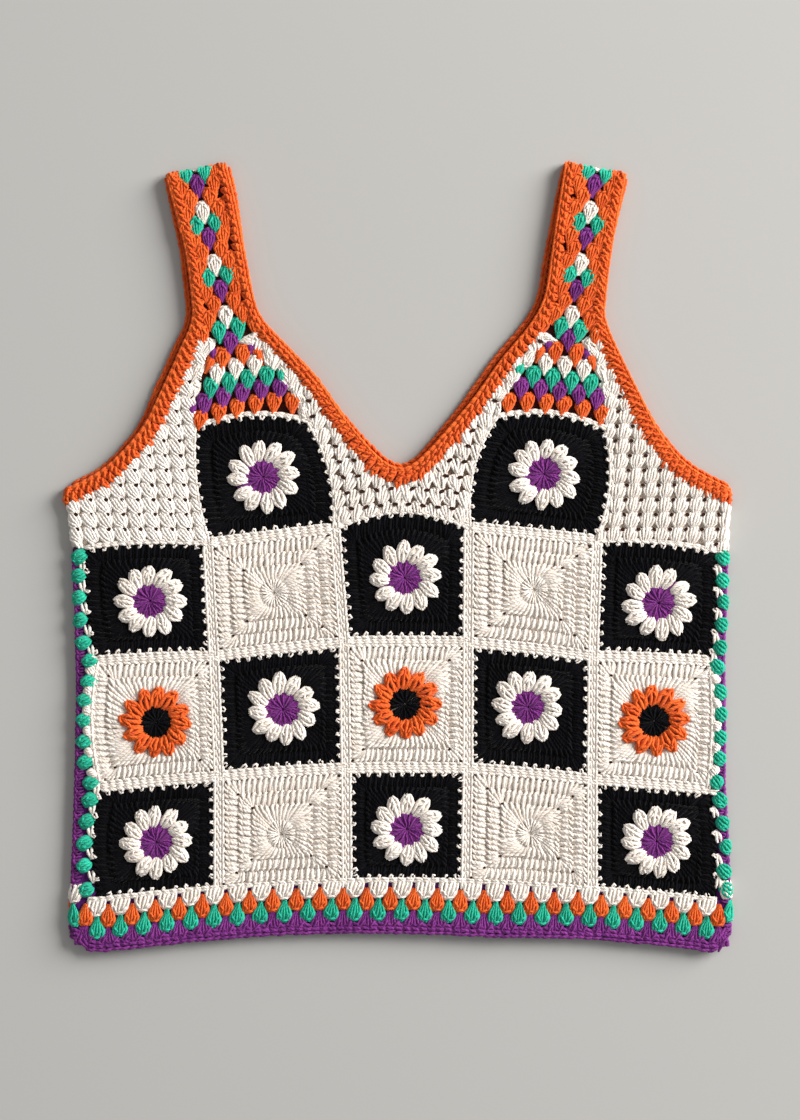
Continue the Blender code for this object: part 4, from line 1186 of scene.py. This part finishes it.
class Square:
    """Plan of one square: its sides, anticlockwise from the lower left corner, and its centre."""

    def __init__(self, row, column, centre):
        lower, right, upper, left = square_edges(row, column)
        self.sides = np.array([lower, right[::-1], upper[::-1], left])
        self.lengths = np.array([run_lengths(side)[-1] for side in self.sides])
        self.centre = np.array(centre) * MM
        self.outline = np.vstack([side[:-1] for side in self.sides])
        free_top = row == 1 or (row == 2 and column % 2 == 1)
        self.kinds = ["edge" if row == 4 else "seam", "side" if column == 5 else "seam",
                      "edge" if free_top else "seam", "side" if column == 1 else "seam"]
        if row == 1:
            self.kinds = ["seam", "edge", "edge", "edge"]

    def rim(self, side, t):
        """Points of one side of the outline at shares t of it."""
        place_on = np.clip(np.asarray(t, dtype=float), 0.0, 1.0) * (self.sides.shape[1] - 1)
        k = np.minimum(place_on.astype(int), self.sides.shape[1] - 2)
        part = (place_on - k)[:, None]
        return self.sides[side, k] * (1 - part) + self.sides[side, k + 1] * part

    def inset(self, side, t, distance):
        """Points at a distance inside a side."""
        t = np.clip(np.asarray(t, dtype=float), 0.0, 1.0)
        rim = self.rim(side, t)
        reach = self.centre - rim
        tangent = self.rim(side, t + SIDE_STEP) - self.rim(side, t - SIDE_STEP)
        tangent /= np.linalg.norm(tangent, axis=1)[:, None]
        depth = np.abs(tangent[:, 0] * reach[:, 1] - tangent[:, 1] * reach[:, 0])
        return rim + reach * (distance / depth)[:, None]

    def ring(self, side, t, share):
        """Points of a side of a smaller square: the share runs from 0 at the centre to 1 at the border."""
        edge = self.inset(side, t, BORDER_WIDTHS[self.kinds[side]])
        return self.centre + (edge - self.centre) * share

    def circle(self, side, t, radius):
        """Points of a circle round the centre, in the directions of a side."""
        reach = self.rim(side, t) - self.centre
        return self.centre + reach / np.linalg.norm(reach, axis=1)[:, None] * radius


def add_hole_shadows(name, spots, size):
    """Dark spots of painted shadow where the eye looks between stitches into the holes."""
    half_width, half_height, height = size
    vertices = []
    faces = []
    for x, y in spots:
        turn = random.normal(0, HOLE_TURN)
        faces.append(tuple(range(len(vertices), len(vertices) + HOLE_SIDES)))
        for k in range(HOLE_SIDES):
            a = half_width * math.cos(2 * k * math.pi / HOLE_SIDES)
            b = half_height * math.sin(2 * k * math.pi / HOLE_SIDES)
            px = x + a * math.cos(turn) - b * math.sin(turn)
            py = y + a * math.sin(turn) + b * math.cos(turn)
            vertices.append((px, py, GROUND_TOP + rise(px, py) + height))
    return add_object(name, vertices, faces, GROUND["gap"])


def place_between_puffs(cream, square, side, black):
    """Cream stitches that reach out between the puffs: short hooked dashes on black, else plump bumps."""
    edge = square.sides[side]
    puffs = np.array(SIDE_PUFFS[1 if side == 1 else -1])[:, 1] * MM
    t = ((puffs[1:] + puffs[:-1]) / 2 - edge[0, 1]) / (edge[-1, 1] - edge[0, 1])
    t = t[(t > CORNER_SHARE) & (t < 1 - CORNER_SHARE)]
    if black:
        dash = DASH / square.lengths[side]
        start = square.inset(side, t - dash, DASH_ENDS[0])
        end = square.inset(side, t + dash, DASH_ENDS[1])
        place(cream, PLAIT, start, end, half=1.2 * MM, lift=0.5, tone=0.66)
        start = square.inset(side, t + dash / 2, HOOK_ENDS[0])
        end = square.inset(side, t + dash, HOOK_ENDS[1])
        place(cream, PICOT, start, end, half=1.5 * MM, wobble=0.2, tone=0.64)
    else:
        start, end = (square.inset(side, t, distance) for distance in BUMP_ENDS)
        place(cream, PUFF, start, end, half=3.3 * MM, lift=0.2, tone=0.60)
        count = int(square.lengths[side] / CHAIN_PITCH) + 1
        line = square.inset(side, np.arange(count) * CHAIN_PITCH / square.lengths[side], BUMP_ENDS[0])
        place(cream, PLAIT, line[:-1], line[1:], half=0.8 * MM, lift=1.0, wobble=0.08, tone=0.60, stray=0.0)


def place_border(cream, square, black):
    """Plait along each side and small loops over the edge of black."""
    for side in range(4):
        kind = square.kinds[side]
        if kind == "side":
            place_between_puffs(cream, square, side, black)
            continue
        middle, half = PLAITS[kind]
        count = int(round(square.lengths[side] / CHAIN_PITCH))
        t = np.arange(-1, count + 1) / count
        whole_side = square.rim(side, np.ones(1)) - square.rim(side, np.zeros(1))
        line = square.inset(side, t, middle) + whole_side * (t - np.clip(t, 0, 1))[:, None]
        place(cream, PLAIT, line[:-1], line[1:], half, lift=0.5, wobble=0.08, tone=0.60, stray=0.0)
        if black:
            loops = int(round(square.lengths[side] / PICOT_PITCH))
            t = (np.arange(loops) + 0.5 + random.uniform(-PICOT_SPREAD, PICOT_SPREAD, loops)) / loops
            lean = random.uniform(*PICOT_LEAN, loops)
            start = square.inset(side, t, BORDER_WIDTHS[kind] + PICOT_ENDS[0])
            end = square.inset(side, t + lean, BORDER_WIDTHS[kind] + PICOT_ENDS[1])
            place(cream, PICOT, start, end, half=1.4 * MM, wobble=0.2, tone=0.64)


def place_round(strands, pattern, square, inner, outer, circle, tone):
    """One round of posts: straight along the sides, fanned out at the corners."""
    for side in range(4):
        length = square.lengths[side] - 2 * BORDER_WIDTHS["seam"]
        count = max(int(round(length * outer / POST_PITCH)), 3)
        t = (np.arange(count) + 0.5) / count
        head = square.ring(side, t, outer)
        if circle is None:
            spot = np.clip(0.5 + (t - 0.5) * outer / inner, CORNER_SHARE, 1 - CORNER_SHARE)
            foot = square.ring(side, spot, inner)
        else:
            foot = square.circle(side, t, circle)
        at_head = np.linalg.norm(np.gradient(head, axis=0), axis=1)
        at_foot = np.linalg.norm(np.gradient(foot, axis=0), axis=1)
        half = np.maximum(0.5 * at_head * HEAD_SHARE + 0.5 * at_foot * (1 - HEAD_SHARE), POST_HALF)
        place(strands, pattern * [1, 1, 1, POST_SWELL], foot, head, half, tone=tone, wobble=0.24)


def directions(degrees):
    """Unit directions at some angles."""
    angles = np.radians(degrees)
    return np.stack([np.cos(angles), np.sin(angles)], axis=1)


def place_flower(petals, middle, square, turn, kind):
    """Plump petals round a centre whose rays reach between them."""
    out = directions(turn + PETAL_TURN * np.arange(PETALS) + random.normal(0, PETAL_SPREAD, PETALS))
    foot = square.centre + out * PETAL_FOOT
    tips = square.centre + out * (PETAL_REACH[kind] + random.normal(0, REACH_SPREAD, PETALS))[:, None] * MM
    half = random.uniform(*PETAL_HALF, PETALS) * PETAL_FULLNESS[kind] * MM
    pattern = TIP_PETAL if kind == "flower" else PETAL
    place(petals, pattern, foot, tips, half, lift=0.6, wobble=0.24, tone=0.58)
    place(petals, PETAL_WRAPS, foot, tips, half, lift=0.5, wobble=0.4, tone=0.62)
    between = turn + PETAL_TURN / 2 + PETAL_TURN * np.arange(PETALS)
    dense = turn + 360 / DENSE_RAYS * np.arange(DENSE_RAYS) + random.normal(0, RAY_SPREAD, DENSE_RAYS)
    rays = [(between + np.degrees(shift), *rest) for shift, *rest in RAYS_BETWEEN]
    rays += [(dense[::step], *rest) for step, *rest in DENSE_LAYERS]
    for angles, start, end, lift, swell in rays:
        out = directions(angles) * MM
        place(middle, RAY * [1, 1, 1, swell], square.centre + out * start, square.centre + out * end,
              RAY_HALF, lift=lift)


def place_star(cream, square, turn):
    """Short rays in the middle of a plain square."""
    angles = turn + 360 / STAR_RAYS * np.arange(STAR_RAYS) + random.normal(0, RAY_SPREAD, STAR_RAYS)
    start, end = (square.centre + directions(angles) * distance * MM for distance in STAR_ENDS)
    place(cream, STAR_RAY, start, end, RAY_HALF, tone=0.55, stray=0.1)


def square_pieces(row, column, kind, turn, x, y):
    """Cloth and stitches of one square."""
    square = Square(row, column, (x, y))
    name = "r%dc%d" % (row, column)
    black = kind == "black"
    cloth = cloth_from_outline(name + "_cloth", "black" if black else "cream", square.outline, SQUARE_GRID)
    cream, petals, middle = (Strands(name + part) for part in ("_cream", "_petals", "_centre"))
    place_border(cream, square, black)
    if kind == "plain":
        place_star(cream, square, turn)
    else:
        place_flower(petals, middle, square, turn, kind)
    rounds = Strands(name + "_rounds", sides=4) if black else cream
    for inner, outer, circle in ROUNDS[kind]:
        place_round(rounds, DARK_POST if black else POST, square, inner, outer, circle, POST_TONES[kind])
    pieces = []
    # Spots of painted shadow in the holes at the corners of the rounds
    if kind in CORNER_HOLES:
        spots = [square.ring(side, [0.0], share) for share in CORNER_HOLES[kind] for side in range(4)]
        pieces.append(add_hole_shadows(name + "_gaps", np.vstack(spots), CORNER_HOLE))
    if kind in FLOWER_COLORS:
        petal_color, centre_color = FLOWER_COLORS[kind]
        pieces += [petals.finish(petal_color), middle.finish(centre_color)]
    if black:
        pieces.append(rounds.finish("black"))
    pieces.append(cream.finish("cream"))
    declare(square.outline, pieces)
    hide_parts("square_" + name)


# Edgings

class Band:
    """Strip between two lines: u runs along it in metres, v across it, from 0 to 1."""

    def __init__(self, stations):
        first = np.array([station[0] for station in stations])
        second = np.array([station[1] for station in stations])
        self.table = np.hstack([(first + second) / 2, first, second])
        self.length = run_lengths(self.table)[-1]

    def at(self, u, v):
        """Points of the strip, which runs on straight past its ends."""
        row = walk(self.table, u)
        v = np.broadcast_to(np.asarray(v, dtype=float), row.shape[:1])[:, None]
        return row[:, 2:4] * (1 - v) + row[:, 4:6] * v


def place_edging(strands, band, surface, slant, longest):
    """Cord along the rim, then the slanting stitches whose pointed feet reach into the cloth."""
    u = np.arange(-OVER_FOLD, band.length + OVER_FOLD, CHAIN_PITCH)
    place(strands, PLAIT, band.at(u[:-1], CORD_SHARE), band.at(u[1:], CORD_SHARE), half=0.62 * MM, lift=1.1,
          tone=0.72, surface=surface, wobble=0.06, stray=0.0)
    u = np.arange(-OVER_FOLD, band.length + OVER_FOLD, EDGING_PITCH)
    reach = random.uniform(longest - TIP_SPREAD, longest, len(u))
    for foot, foot_step, head, head_step, lift, tone in EDGING_ROWS:
        start = band.at(u + foot_step * slant, reach if foot is None else foot)
        end = band.at(u + head_step * slant, head)
        place(strands, SINGLE, start, end, half=2.7 * MM, lift=lift, wobble=0.2, tone=tone, surface=surface)


def edging_pieces(name, node_name, stations, folds, start_fold, end_fold, slant, longest):
    """Cloth and stitches of one edging round its opening, whose tips reach out to the share longest."""
    def lines(station):
        rim, join = station
        return [rim + (join - rim) * share for share in np.linspace(0, 1, EDGING_POINTS)]

    rows = [front_points(lines(station)) for station in stations]
    rows += [fold_points(lines(stations[-1]), end_fold, share) for share in FOLD_STEPS]
    rows += [back_points(lines(station), shifted=True) for station in stations[::-1]]
    rows += [fold_points(lines(stations[0]), start_fold, share) for share in FOLD_STEPS[::-1]]
    cloth = cloth_from_rows(name + "_cloth", "orange", rows, closed=True)
    stitches = Strands(name + "_stitches")
    band = Band(stations)
    place_edging(stitches, band, folded(folds), slant, longest)
    back = Strands(name + "_back_rim", sides=4)
    u = np.arange(0, band.length, CHAIN_PITCH)
    line = band.at(u, BACK_CORD_SHARE)
    place(back, PLAIT, line[:-1], line[1:], half=1.0 * MM, surface=on_back_rim, stray=0.0)
    foot, head = band.at(u, BACK_LEG_SHARES[0]), band.at(u + BACK_LEG_SLANT, BACK_LEG_SHARES[1])
    place(back, LEG, foot, head, half=2.6 * MM, surface=on_back_rim)
    declare_rows(rows, [stitches.finish("orange"), back.finish("orange")], closed=True)
    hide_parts(node_name)


# Straps and the coloured triangles at their feet

def strap_rows(side):
    """Rows of a strap's cloth, from the upper square over the shoulder and down the back."""
    shares = np.linspace(0, 1, EDGE_POINTS)[:, None]
    if side < 0:
        edge, outer_line, inner_line = square_edges(1, 2)[2], LEFT_CUP_OUTER, LEFT_CUP_INNER
        lefts, rights = STRAP_ARM[side], STRAP_NECK[side]
    else:
        edge, outer_line, inner_line = square_edges(1, 4)[2], RIGHT_CUP_INNER, RIGHT_CUP_OUTER
        lefts, rights = STRAP_NECK[side], STRAP_ARM[side]
    rows = [front_points(edge)]
    bow = edge[:, 1] - edge[0, 1] - (edge[-1, 1] - edge[0, 1]) * shares[:, 0]
    for k, (left, right) in enumerate(zip(outer_line, inner_line)):
        line = np.array(left) * MM * (1 - shares) + np.array(right) * MM * shares
        line[:, 1] += bow * (1 - (k + 1) / len(outer_line))
        rows.append(front_points(line))
    lines = [left[1] * (1 - shares) + right[1] * shares for left, right in zip(lefts, rights)]
    rows += [front_points(line) for line in lines[::-1]]
    rows += [fold_points(lines[0], shoulder_direction(side), share) for share in FOLD_STEPS]
    rows += [back_points(line, shifted=True) for line in lines]
    return rows


def place_clusters(strands, spots, up, half, length, surface, pattern=CLUSTER):
    """Clusters at some spots, each laid from its foot to its head along up."""
    spots = np.array(spots)
    foot, head = spots - up * length / 2, spots + up * length / 2
    place(strands, pattern, foot, head, half, lift=0.2, wobble=0.2, tone=0.54, surface=surface)
    place(strands, CLUSTER_WRAPS, foot, head, half, lift=0.3, wobble=0.3, tone=0.60, surface=surface)


def place_triangle(colors, side, surface):
    """Rows of clusters in the triangle, the narrow ones at their ends, and the cream ones beside them."""
    for color, count, x0, y0, x1, y1, bow, length in CUP_ROWS[side]:
        shares = np.linspace(0, 1, count) if count > 1 else np.array([0.0])
        spots = np.array([x0, y0]) * (1 - shares)[:, None] + np.array([x1, y1]) * shares[:, None]
        spots[:, 1] += bow * 4 * shares * (1 - shares)
        place_clusters(colors[color], spots * MM, np.array([0.0, 1.0]), CLUSTER_HALF, length * MM, surface)
    for color, *ends, half in SLIVERS[side]:
        foot, head = np.array(ends).reshape(2, 2) * MM
        place(colors[color], CLUSTER, foot, head, half * MM, wobble=0.2)
    flanks = np.array(FLANKS[side]) * MM
    for pattern, lift in ((CLUSTER, -0.4), (CLUSTER_WRAPS, -0.3)):
        place(colors["cream"], pattern, flanks[:, :2], flanks[:, 2:], half=4.0 * MM, lift=lift, wobble=0.32,
              tone=0.60)


def strap_pieces(side, name, node_name):
    """Cloth and clusters of one strap with its triangle."""
    rows = strap_rows(side)
    # Dark brown cloth: painted shadow between the clusters of the triangle and the strap
    cloth = cloth_from_rows(name + "_cloth", "triangle", rows)
    colors = {color: Strands(name + "_" + color) for color in ("orange", "purple", "teal", "cream")}
    surface = folded([shoulder_fold(side)])
    place_triangle(colors, side, surface)
    axis = smooth_curve(STRAP_AXIS[side])
    arm_joins, neck_joins = joins(STRAP_ARM[side]), joins(STRAP_NECK[side])
    heights = STRAP_AXIS[side][0][1] * MM + STRAP_ROW_PITCH * np.arange(1, STRAP_ROW_COUNT)
    up = shoulder_direction(side)
    sideways = np.array([up[1], -up[0]])
    for k, y in enumerate(heights):
        middle = at_level(axis, min(y, axis[-1, 1])) + up * max(y - axis[-1, 1], 0.0)
        width = abs(at_level(neck_joins, y)[0] - at_level(arm_joins, y)[0]) / 2
        color, single = STRAP_PATTERN[k % len(STRAP_PATTERN)]
        centred = [0.0] if single else [-PAIR_HALF, PAIR_HALF]
        edges = width - EDGE_INSIDE if single else width + EDGE_OUTSIDE
        rows_here = [(color, centred)]
        if single or color != "orange":
            rows_here.append(("orange", [-edges, edges]))
        for worked, offsets in rows_here:
            spots = [middle + sideways * offset for offset in offsets]
            place_clusters(colors[worked], spots, up, CLUSTER_HALF, CLUSTER_LENGTH, surface)
    pieces = [strands.finish(color) for color, strands in colors.items()]
    declare_rows(rows, pieces)
    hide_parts(node_name)


# Yokes

def yoke_outlines():
    """Outlines of the three yoke pieces."""
    def corner(side, y):
        return [(body_x(side, y), y)]

    def body(side, count):
        return np.array(BODY_EDGES[side][:count]) * MM

    arm = {side: joins([STRAP_ARM[side][-1]] + SCYE[side]) for side in (-1, 1)}
    low = square_edges(2, 1)[2]
    left = np.vstack([arm[-1], body(-1, 3)[1:], corner(-1, low[0, 1]), low[:-1], square_edges(1, 2)[3][::-1],
                      np.array(LEFT_CUP_OUTER) * MM])
    low = square_edges(2, 5)[2]
    right = np.vstack([np.array(RIGHT_CUP_OUTER[::-1]) * MM, square_edges(1, 4)[1], low[1:],
                       corner(1, low[-1, 1]), body(1, 2)[:0:-1], arm[1][::-1]])
    neck = joins([STRAP_NECK[-1][-1]] + V_STATIONS)
    centre = np.vstack([np.array(LEFT_CUP_INNER[::-1]) * MM, square_edges(1, 2)[1],
                        square_edges(2, 3)[2][1:-1], square_edges(1, 4)[3][::-1],
                        np.array(RIGHT_CUP_INNER) * MM, neck[::-1]])
    return {"left": left, "centre": centre, "right": right}


def side_shells(side):
    """Feet and heads of the clusters of a side yoke in level rows, and the gap below each foot."""
    k, row = np.meshgrid(*(np.arange(*numbers) for numbers in SIDE_SHELLS))
    x = -side * (SIDE_HOLE[0] - ROW_SHIFT * row + SHELL_PITCH * k)
    gap = np.stack([x.ravel(), (SIDE_HOLE[1] + SHELL_RISE * row).ravel()], axis=1)
    foot_x, head_x = SHELL_LEAN[side]
    return gap + [foot_x, FOOT_OVER], gap + [head_x, SHELL_RISE + HEAD_OVER], gap


def centre_shells():
    """The same for the centre yoke, whose two halves mirror each other."""
    k, row = np.meshgrid(*(np.arange(*numbers) for numbers in CENTRE_SHELLS))
    along, up = k[..., None] * np.array(CENTRE_PITCH), row[..., None] * np.array(CENTRE_ROW)
    gap = ((np.array(CENTRE_HOLE) + along + up) * MM).reshape(-1, 2)
    gap = gap[gap[:, 0] < MIDDLE_X - MIDDLE_ROOM]
    halves = (gap + CENTRE_FOOT, gap + CENTRE_HEAD, gap)
    foot, head, both = (np.vstack([half, half * [-1, 1] + [2 * MIDDLE_X, 0.0]]) for half in halves)
    return foot, head, both + [0.0, HOLE_OVER]


def place_fringe(shells, side, surface):
    """Strands that fill the cloth's edge under the jagged feet of the edging."""
    stations = [STRAP_ARM[side][-1]] + SCYE[side] if side else [STRAP_NECK[-1][-1]] + V_STATIONS
    join = spread(joins(stations), FRINGE_POINTS)
    inward = across(join, 1 if side < 0 else -1)
    u = np.arange(0, run_lengths(join)[-1], FRINGE_PITCH)
    edge = walk(join, u)
    inward = walk(np.hstack([join, inward]), u)[:, 2:]
    start, end = (edge + inward * distance for distance in FRINGE_ENDS)
    place(shells, LEAF, start, end, half=1.2 * MM, lift=-0.2, tone=0.52, surface=surface, stray=0.6)


def yoke_pieces():
    """Cloth and open clusters of the three yoke pieces."""
    outlines = yoke_outlines()
    for name, outline in outlines.items():
        side = {"left": -1, "centre": 0, "right": 1}[name]
        # The centre yoke's cloth is dark brown, painted shadow between its fans; the side yokes' cloth is
        # cream
        ground = "cream" if side else "yoke"
        cloth = cloth_from_outline("yoke_" + name + "_cloth", ground, outline, YOKE_GRID)
        shells = Strands("yoke_" + name + "_shells")
        foot, head, gaps = side_shells(side) if side else centre_shells()
        surface = folded([side_fold(side)]) if side else on_front
        allowed = outline.copy()
        edge = np.abs(outline[:, 0] - body_x(side or 1, outline[:, 1])) < AT_EDGE
        allowed[edge, 0] += side * ROUND_FOLD
        allowed = shrink(allowed, -YOKE_OVERHANG)
        # Each yoke's tone carries painted light: lighter on the left, darker on the right
        place(shells, FAN * [side, 1, 1, 1] if side else SPLAY, foot, head, SHELL_HALF, lift=0.1,
              wobble=0.26 if side else 0.42, tone=SHELL_PAINTED_LIGHT_TONES[name], surface=surface, keep=allowed)
        place_fringe(shells, side, surface)
        # Spots of painted shadow in the holes between the clusters
        seen = gaps[inside(shrink(outline, HOLE_ROOM), gaps)]
        holes = add_hole_shadows("yoke_" + name + "_gaps", seen, SIDE_YOKE_HOLE if side else CENTRE_YOKE_HOLE)
        declare(outline, [shells.finish("cream"), holes], None if side else V_STRIP)
        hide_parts("yoke_" + name)


# Side bands and hem

def side_band_pieces(side, name, node_name):
    """Cloth, teal puffs and purple rim of one side band."""
    index = 3 if side < 0 else 1
    edges = [square_edges(row, 1 if side < 0 else 5)[index] for row in (2, 3, 4)]
    seam = np.vstack([edges[0][:-1], edges[1][:-1], edges[2]])
    rows = []
    for x, y in seam:
        rim_x = body_x(side, y) - side * (FOLD_RADIUS + SOLID_WALL / 2)
        end_x = body_x(side, y) - side * SIDE_BAND_BACK
        front = front_points([(x, y), ((x + rim_x) / 2, y), (rim_x, y)])
        folds = [fold_points([(rim_x, y)], (side, 0.0), share) for share in FOLD_STEPS]
        back = back_points([(rim_x, y), (end_x, y)])
        rows.append(tuple(np.vstack([front[k]] + [fold[k] for fold in folds] + [back[k]]) for k in (0, 1)))
    cloth = cloth_from_rows(name + "_cloth", "purple", rows)
    surface = folded([side_fold(side)])
    teal = Strands(name + "_teal")
    purple = Strands(name + "_purple")
    spots = np.array(SIDE_PUFFS[side]) * MM + [side * PUFF_OUT, 0.0]
    outward = np.array([side * PUFF_SLANT[0], PUFF_SLANT[1]])
    place_clusters(teal, spots, outward, PUFF_HALF, PUFF_LENGTH, surface, PUFF)
    y = np.arange(seam[-1, 1], seam[0, 1], SIDE_RIM_PITCH)
    rim = np.stack([body_x(side, y) + side * SIDE_RIM_OUT, y], axis=1)
    place(purple, PLAIT, rim[:-1], rim[1:], half=1.8 * MM, lift=0.2, surface=surface)
    far, near = np.array(LEG_ENDS) * [side, 1] * MM
    for sign in (-1, 1):
        place(purple, LEG, rim + sign * far, rim + sign * near, half=2.2 * MM, surface=surface)
    declare_rows(rows, [teal.finish("teal"), purple.finish("purple")])
    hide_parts(node_name)


def hem_pieces():
    """Cloth of the hem and its rows of clusters: cream, orange, teal, purple and the purple rim."""
    edges = [square_edges(4, column)[0] for column in range(1, 6)]
    points = np.vstack([edge[:-1] for edge in edges] + [edges[-1][-1:]])
    turn = FOLD_RADIUS + SOLID_WALL / 2
    left_x, right_x = (body_x(side, points[0, 1]) - side * turn for side in (-1, 1))
    top = np.vstack([[left_x, points[0, 1]], points, [right_x, points[-1, 1]]])
    curve = smooth_curve(HEM_EDGE)
    foot = spread(curve[(curve[:, 0] > left_x) & (curve[:, 0] < right_x)], len(top))
    shares = np.linspace(0, 1, HEM_POINTS)[:, None]
    lines = [a * (1 - shares) + b * shares for a, b in zip(top, foot)]
    rows = [front_points(line) for line in lines]
    rows += [fold_points(lines[-1], (1.0, 0.0), share) for share in FOLD_STEPS]
    rows += [back_points(line) for line in lines[::-1]]
    rows += [fold_points(lines[0], (-1.0, 0.0), share) for share in FOLD_STEPS[::-1]]
    cloth = cloth_from_rows("hem_cloth", "purple", rows, closed=True)
    edge_line = curve[HEM_CORNER:-HEM_CORNER]

    def over_edge(x, offset):
        """Points over the hem's lower edge."""
        return np.stack([x, np.interp(x, edge_line[:, 0], edge_line[:, 1]) + offset], axis=1)

    surface = folded([side_fold(-1), side_fold(1)])
    whole = (HEM_FIRST + HEM_PITCH * np.arange(*HEM_CLUSTERS)) * MM
    halves = whole + HEM_PITCH * 0.5 * MM
    pieces = []
    for color, staggered, foot_at, head_at, half, lift in HEM_ROWS:
        strands = Strands("hem_" + color)
        x = halves if staggered else whole
        feet, heads = over_edge(x, foot_at * MM), over_edge(x, head_at * MM)
        pattern, wrapped = HEM_PATTERNS.get(color, (CLUSTER, CLUSTER_WRAPS))
        place(strands, pattern, feet, heads, half * MM, lift=lift, tone=0.56, surface=surface)
        place(strands, wrapped, feet, heads, half * MM, lift=lift, wobble=0.25, tone=0.6, surface=surface)
        if color == "purple":
            x = np.arange(left_x - RIM_OVER, right_x + RIM_OVER, CHAIN_PITCH)
            for offset, rim_half, rim_lift in HEM_RIMS:
                line = over_edge(x, offset * MM)
                place(strands, PLAIT, line[:-1], line[1:], rim_half * MM, lift=rim_lift, surface=surface)
        pieces.append(strands.finish(color))
    declare_rows(rows, pieces, closed=True)
    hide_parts("hem_band")


def back_piece():
    """Back of the body: plain cloth that lies flat on the surface."""
    def shifted(stations):
        points = joins(stations)
        points[:, 0] += back_offset(points[:, 1])
        return points

    sides = {}
    for side, column, index in ((-1, 1, 3), (1, 5, 1)):
        y = np.vstack([square_edges(row, column)[index] for row in (2, 3, 4)])[::BACK_EDGE_STEP, 1]
        sides[side] = [(body_x(side, level) - side * SIDE_BAND_BACK, level) for level in y]
    hem = np.vstack([square_edges(4, column)[0][1:-1] for column in range(1, 6)])
    low_edge = hem[(hem[:, 0] > sides[-1][-1][0]) & (hem[:, 0] < sides[1][-1][0])]
    left_body, right_body = np.array(BODY_EDGES[-1][1:3]) * MM, np.array(BODY_EDGES[1][1:2]) * MM
    outline = np.vstack([shifted([STRAP_ARM[-1][-1]] + SCYE[-1]), left_body, sides[-1], low_edge,
                         sides[1][::-1], right_body, shifted([STRAP_ARM[1][-1]] + SCYE[1])[::-1],
                         shifted([STRAP_NECK[-1][-1]] + V_STATIONS)[::-1]])
    cloth = cloth_from_outline("back_cloth", "back", outline, BACK_GRID, BACK_WALL, BACK_WALL / 2)
    declare(outline, [])
    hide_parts("back_panel")


# Sizes and middle points of pieces, worked out and not used


def declare(outline, pieces, size=None):
    """Flat size of a piece worked to an outline, worked out and not used. The size is given for one that
    bends round the neck.
    """
    if size is None:
        size = outline.max(axis=0) - outline.min(axis=0)


def declare_rows(rows, pieces, closed=False):
    """Middle points of a piece worked in rows, gathered flat and not used."""
    middle = np.array([row[0] for row in rows])
    if closed:
        middle = np.concatenate([middle, middle[:1]])


# Stage

def build_camera():
    """Camera straight above, as in the photograph."""
    data = bpy.data.cameras.new("camera")
    data.sensor_width = CAMERA_SENSOR
    data.lens = CAMERA_LENS
    data.clip_end = CAMERA_CLIP
    camera = bpy.data.objects.new("camera", data)
    camera.location = CAMERA_PLACE
    bpy.context.scene.collection.objects.link(camera)
    bpy.context.scene.camera = camera


def add_area(name, location, size, power, color):
    """Add a soft lamp that points at the vest."""
    data = bpy.data.lights.new(name, "AREA")
    data.size = size
    data.energy = power
    data.color = color
    lamp = bpy.data.objects.new(name, data)
    lamp.location = location
    lamp.rotation_euler = (-Vector(location)).to_track_quat("-Z", "Y").to_euler()
    bpy.context.scene.collection.objects.link(lamp)


def build_stage():
    """Pale floor, a key lamp from the upper right, a weak fill and a weak sky."""
    corners = [(-1, -1), (1, -1), (1, 1), (-1, 1)]
    mesh = bpy.data.meshes.new("floor")
    mesh.from_pydata([(FLOOR_HALF * x, FLOOR_HALF * y, 0) for x, y in corners], [], [(0, 1, 2, 3)])
    material, _, shader = new_material("floor", roughness=0.95, specular=0.5, sheen=0.0)
    shader.inputs["Base Color"].default_value = FLOOR_COLOR
    mesh.materials.append(material)
    floor = bpy.data.objects.new("floor", mesh)
    bpy.context.scene.collection.objects.link(floor)
    for lamp in LAMPS:
        add_area(*lamp)
    world = bpy.data.worlds.new("sky")
    world.use_nodes = True
    background = world.node_tree.nodes["Background"]
    background.inputs["Color"].default_value = SKY_COLOR
    background.inputs["Strength"].default_value = SKY_STRENGTH
    bpy.context.scene.world = world
    bpy.context.scene.view_settings.view_transform = "Standard"


def build():
    """Build every piece of the vest."""
    back_piece()
    for entry in SQUARES:
        square_pieces(*entry)
    yoke_pieces()
    for side, name in ((-1, "left"), (1, "right")):
        strap_pieces(side, "strap_" + name + "_front", "strap_" + name)
        side_band_pieces(side, "side_" + name, "side_band_" + name)
        edging_pieces("armhole_" + name, "armhole_edging_" + name, STRAP_ARM[side] + SCYE[side],
                      [shoulder_fold(side), underarm_fold(side)], shoulder_direction(side),
                      np.array([side, 0.0]), -side * EDGING_SLANT, ARM_TIPS)
    neck = STRAP_NECK[-1] + V_STATIONS + STRAP_NECK[1][-2::-1]
    edging_pieces("neck", "neck_edging", neck, [shoulder_fold(-1), shoulder_fold(1)],
                  shoulder_direction(-1), shoulder_direction(1), EDGING_SLANT, NECK_TIPS)
    hem_pieces()


build_camera()
build()
build_stage()
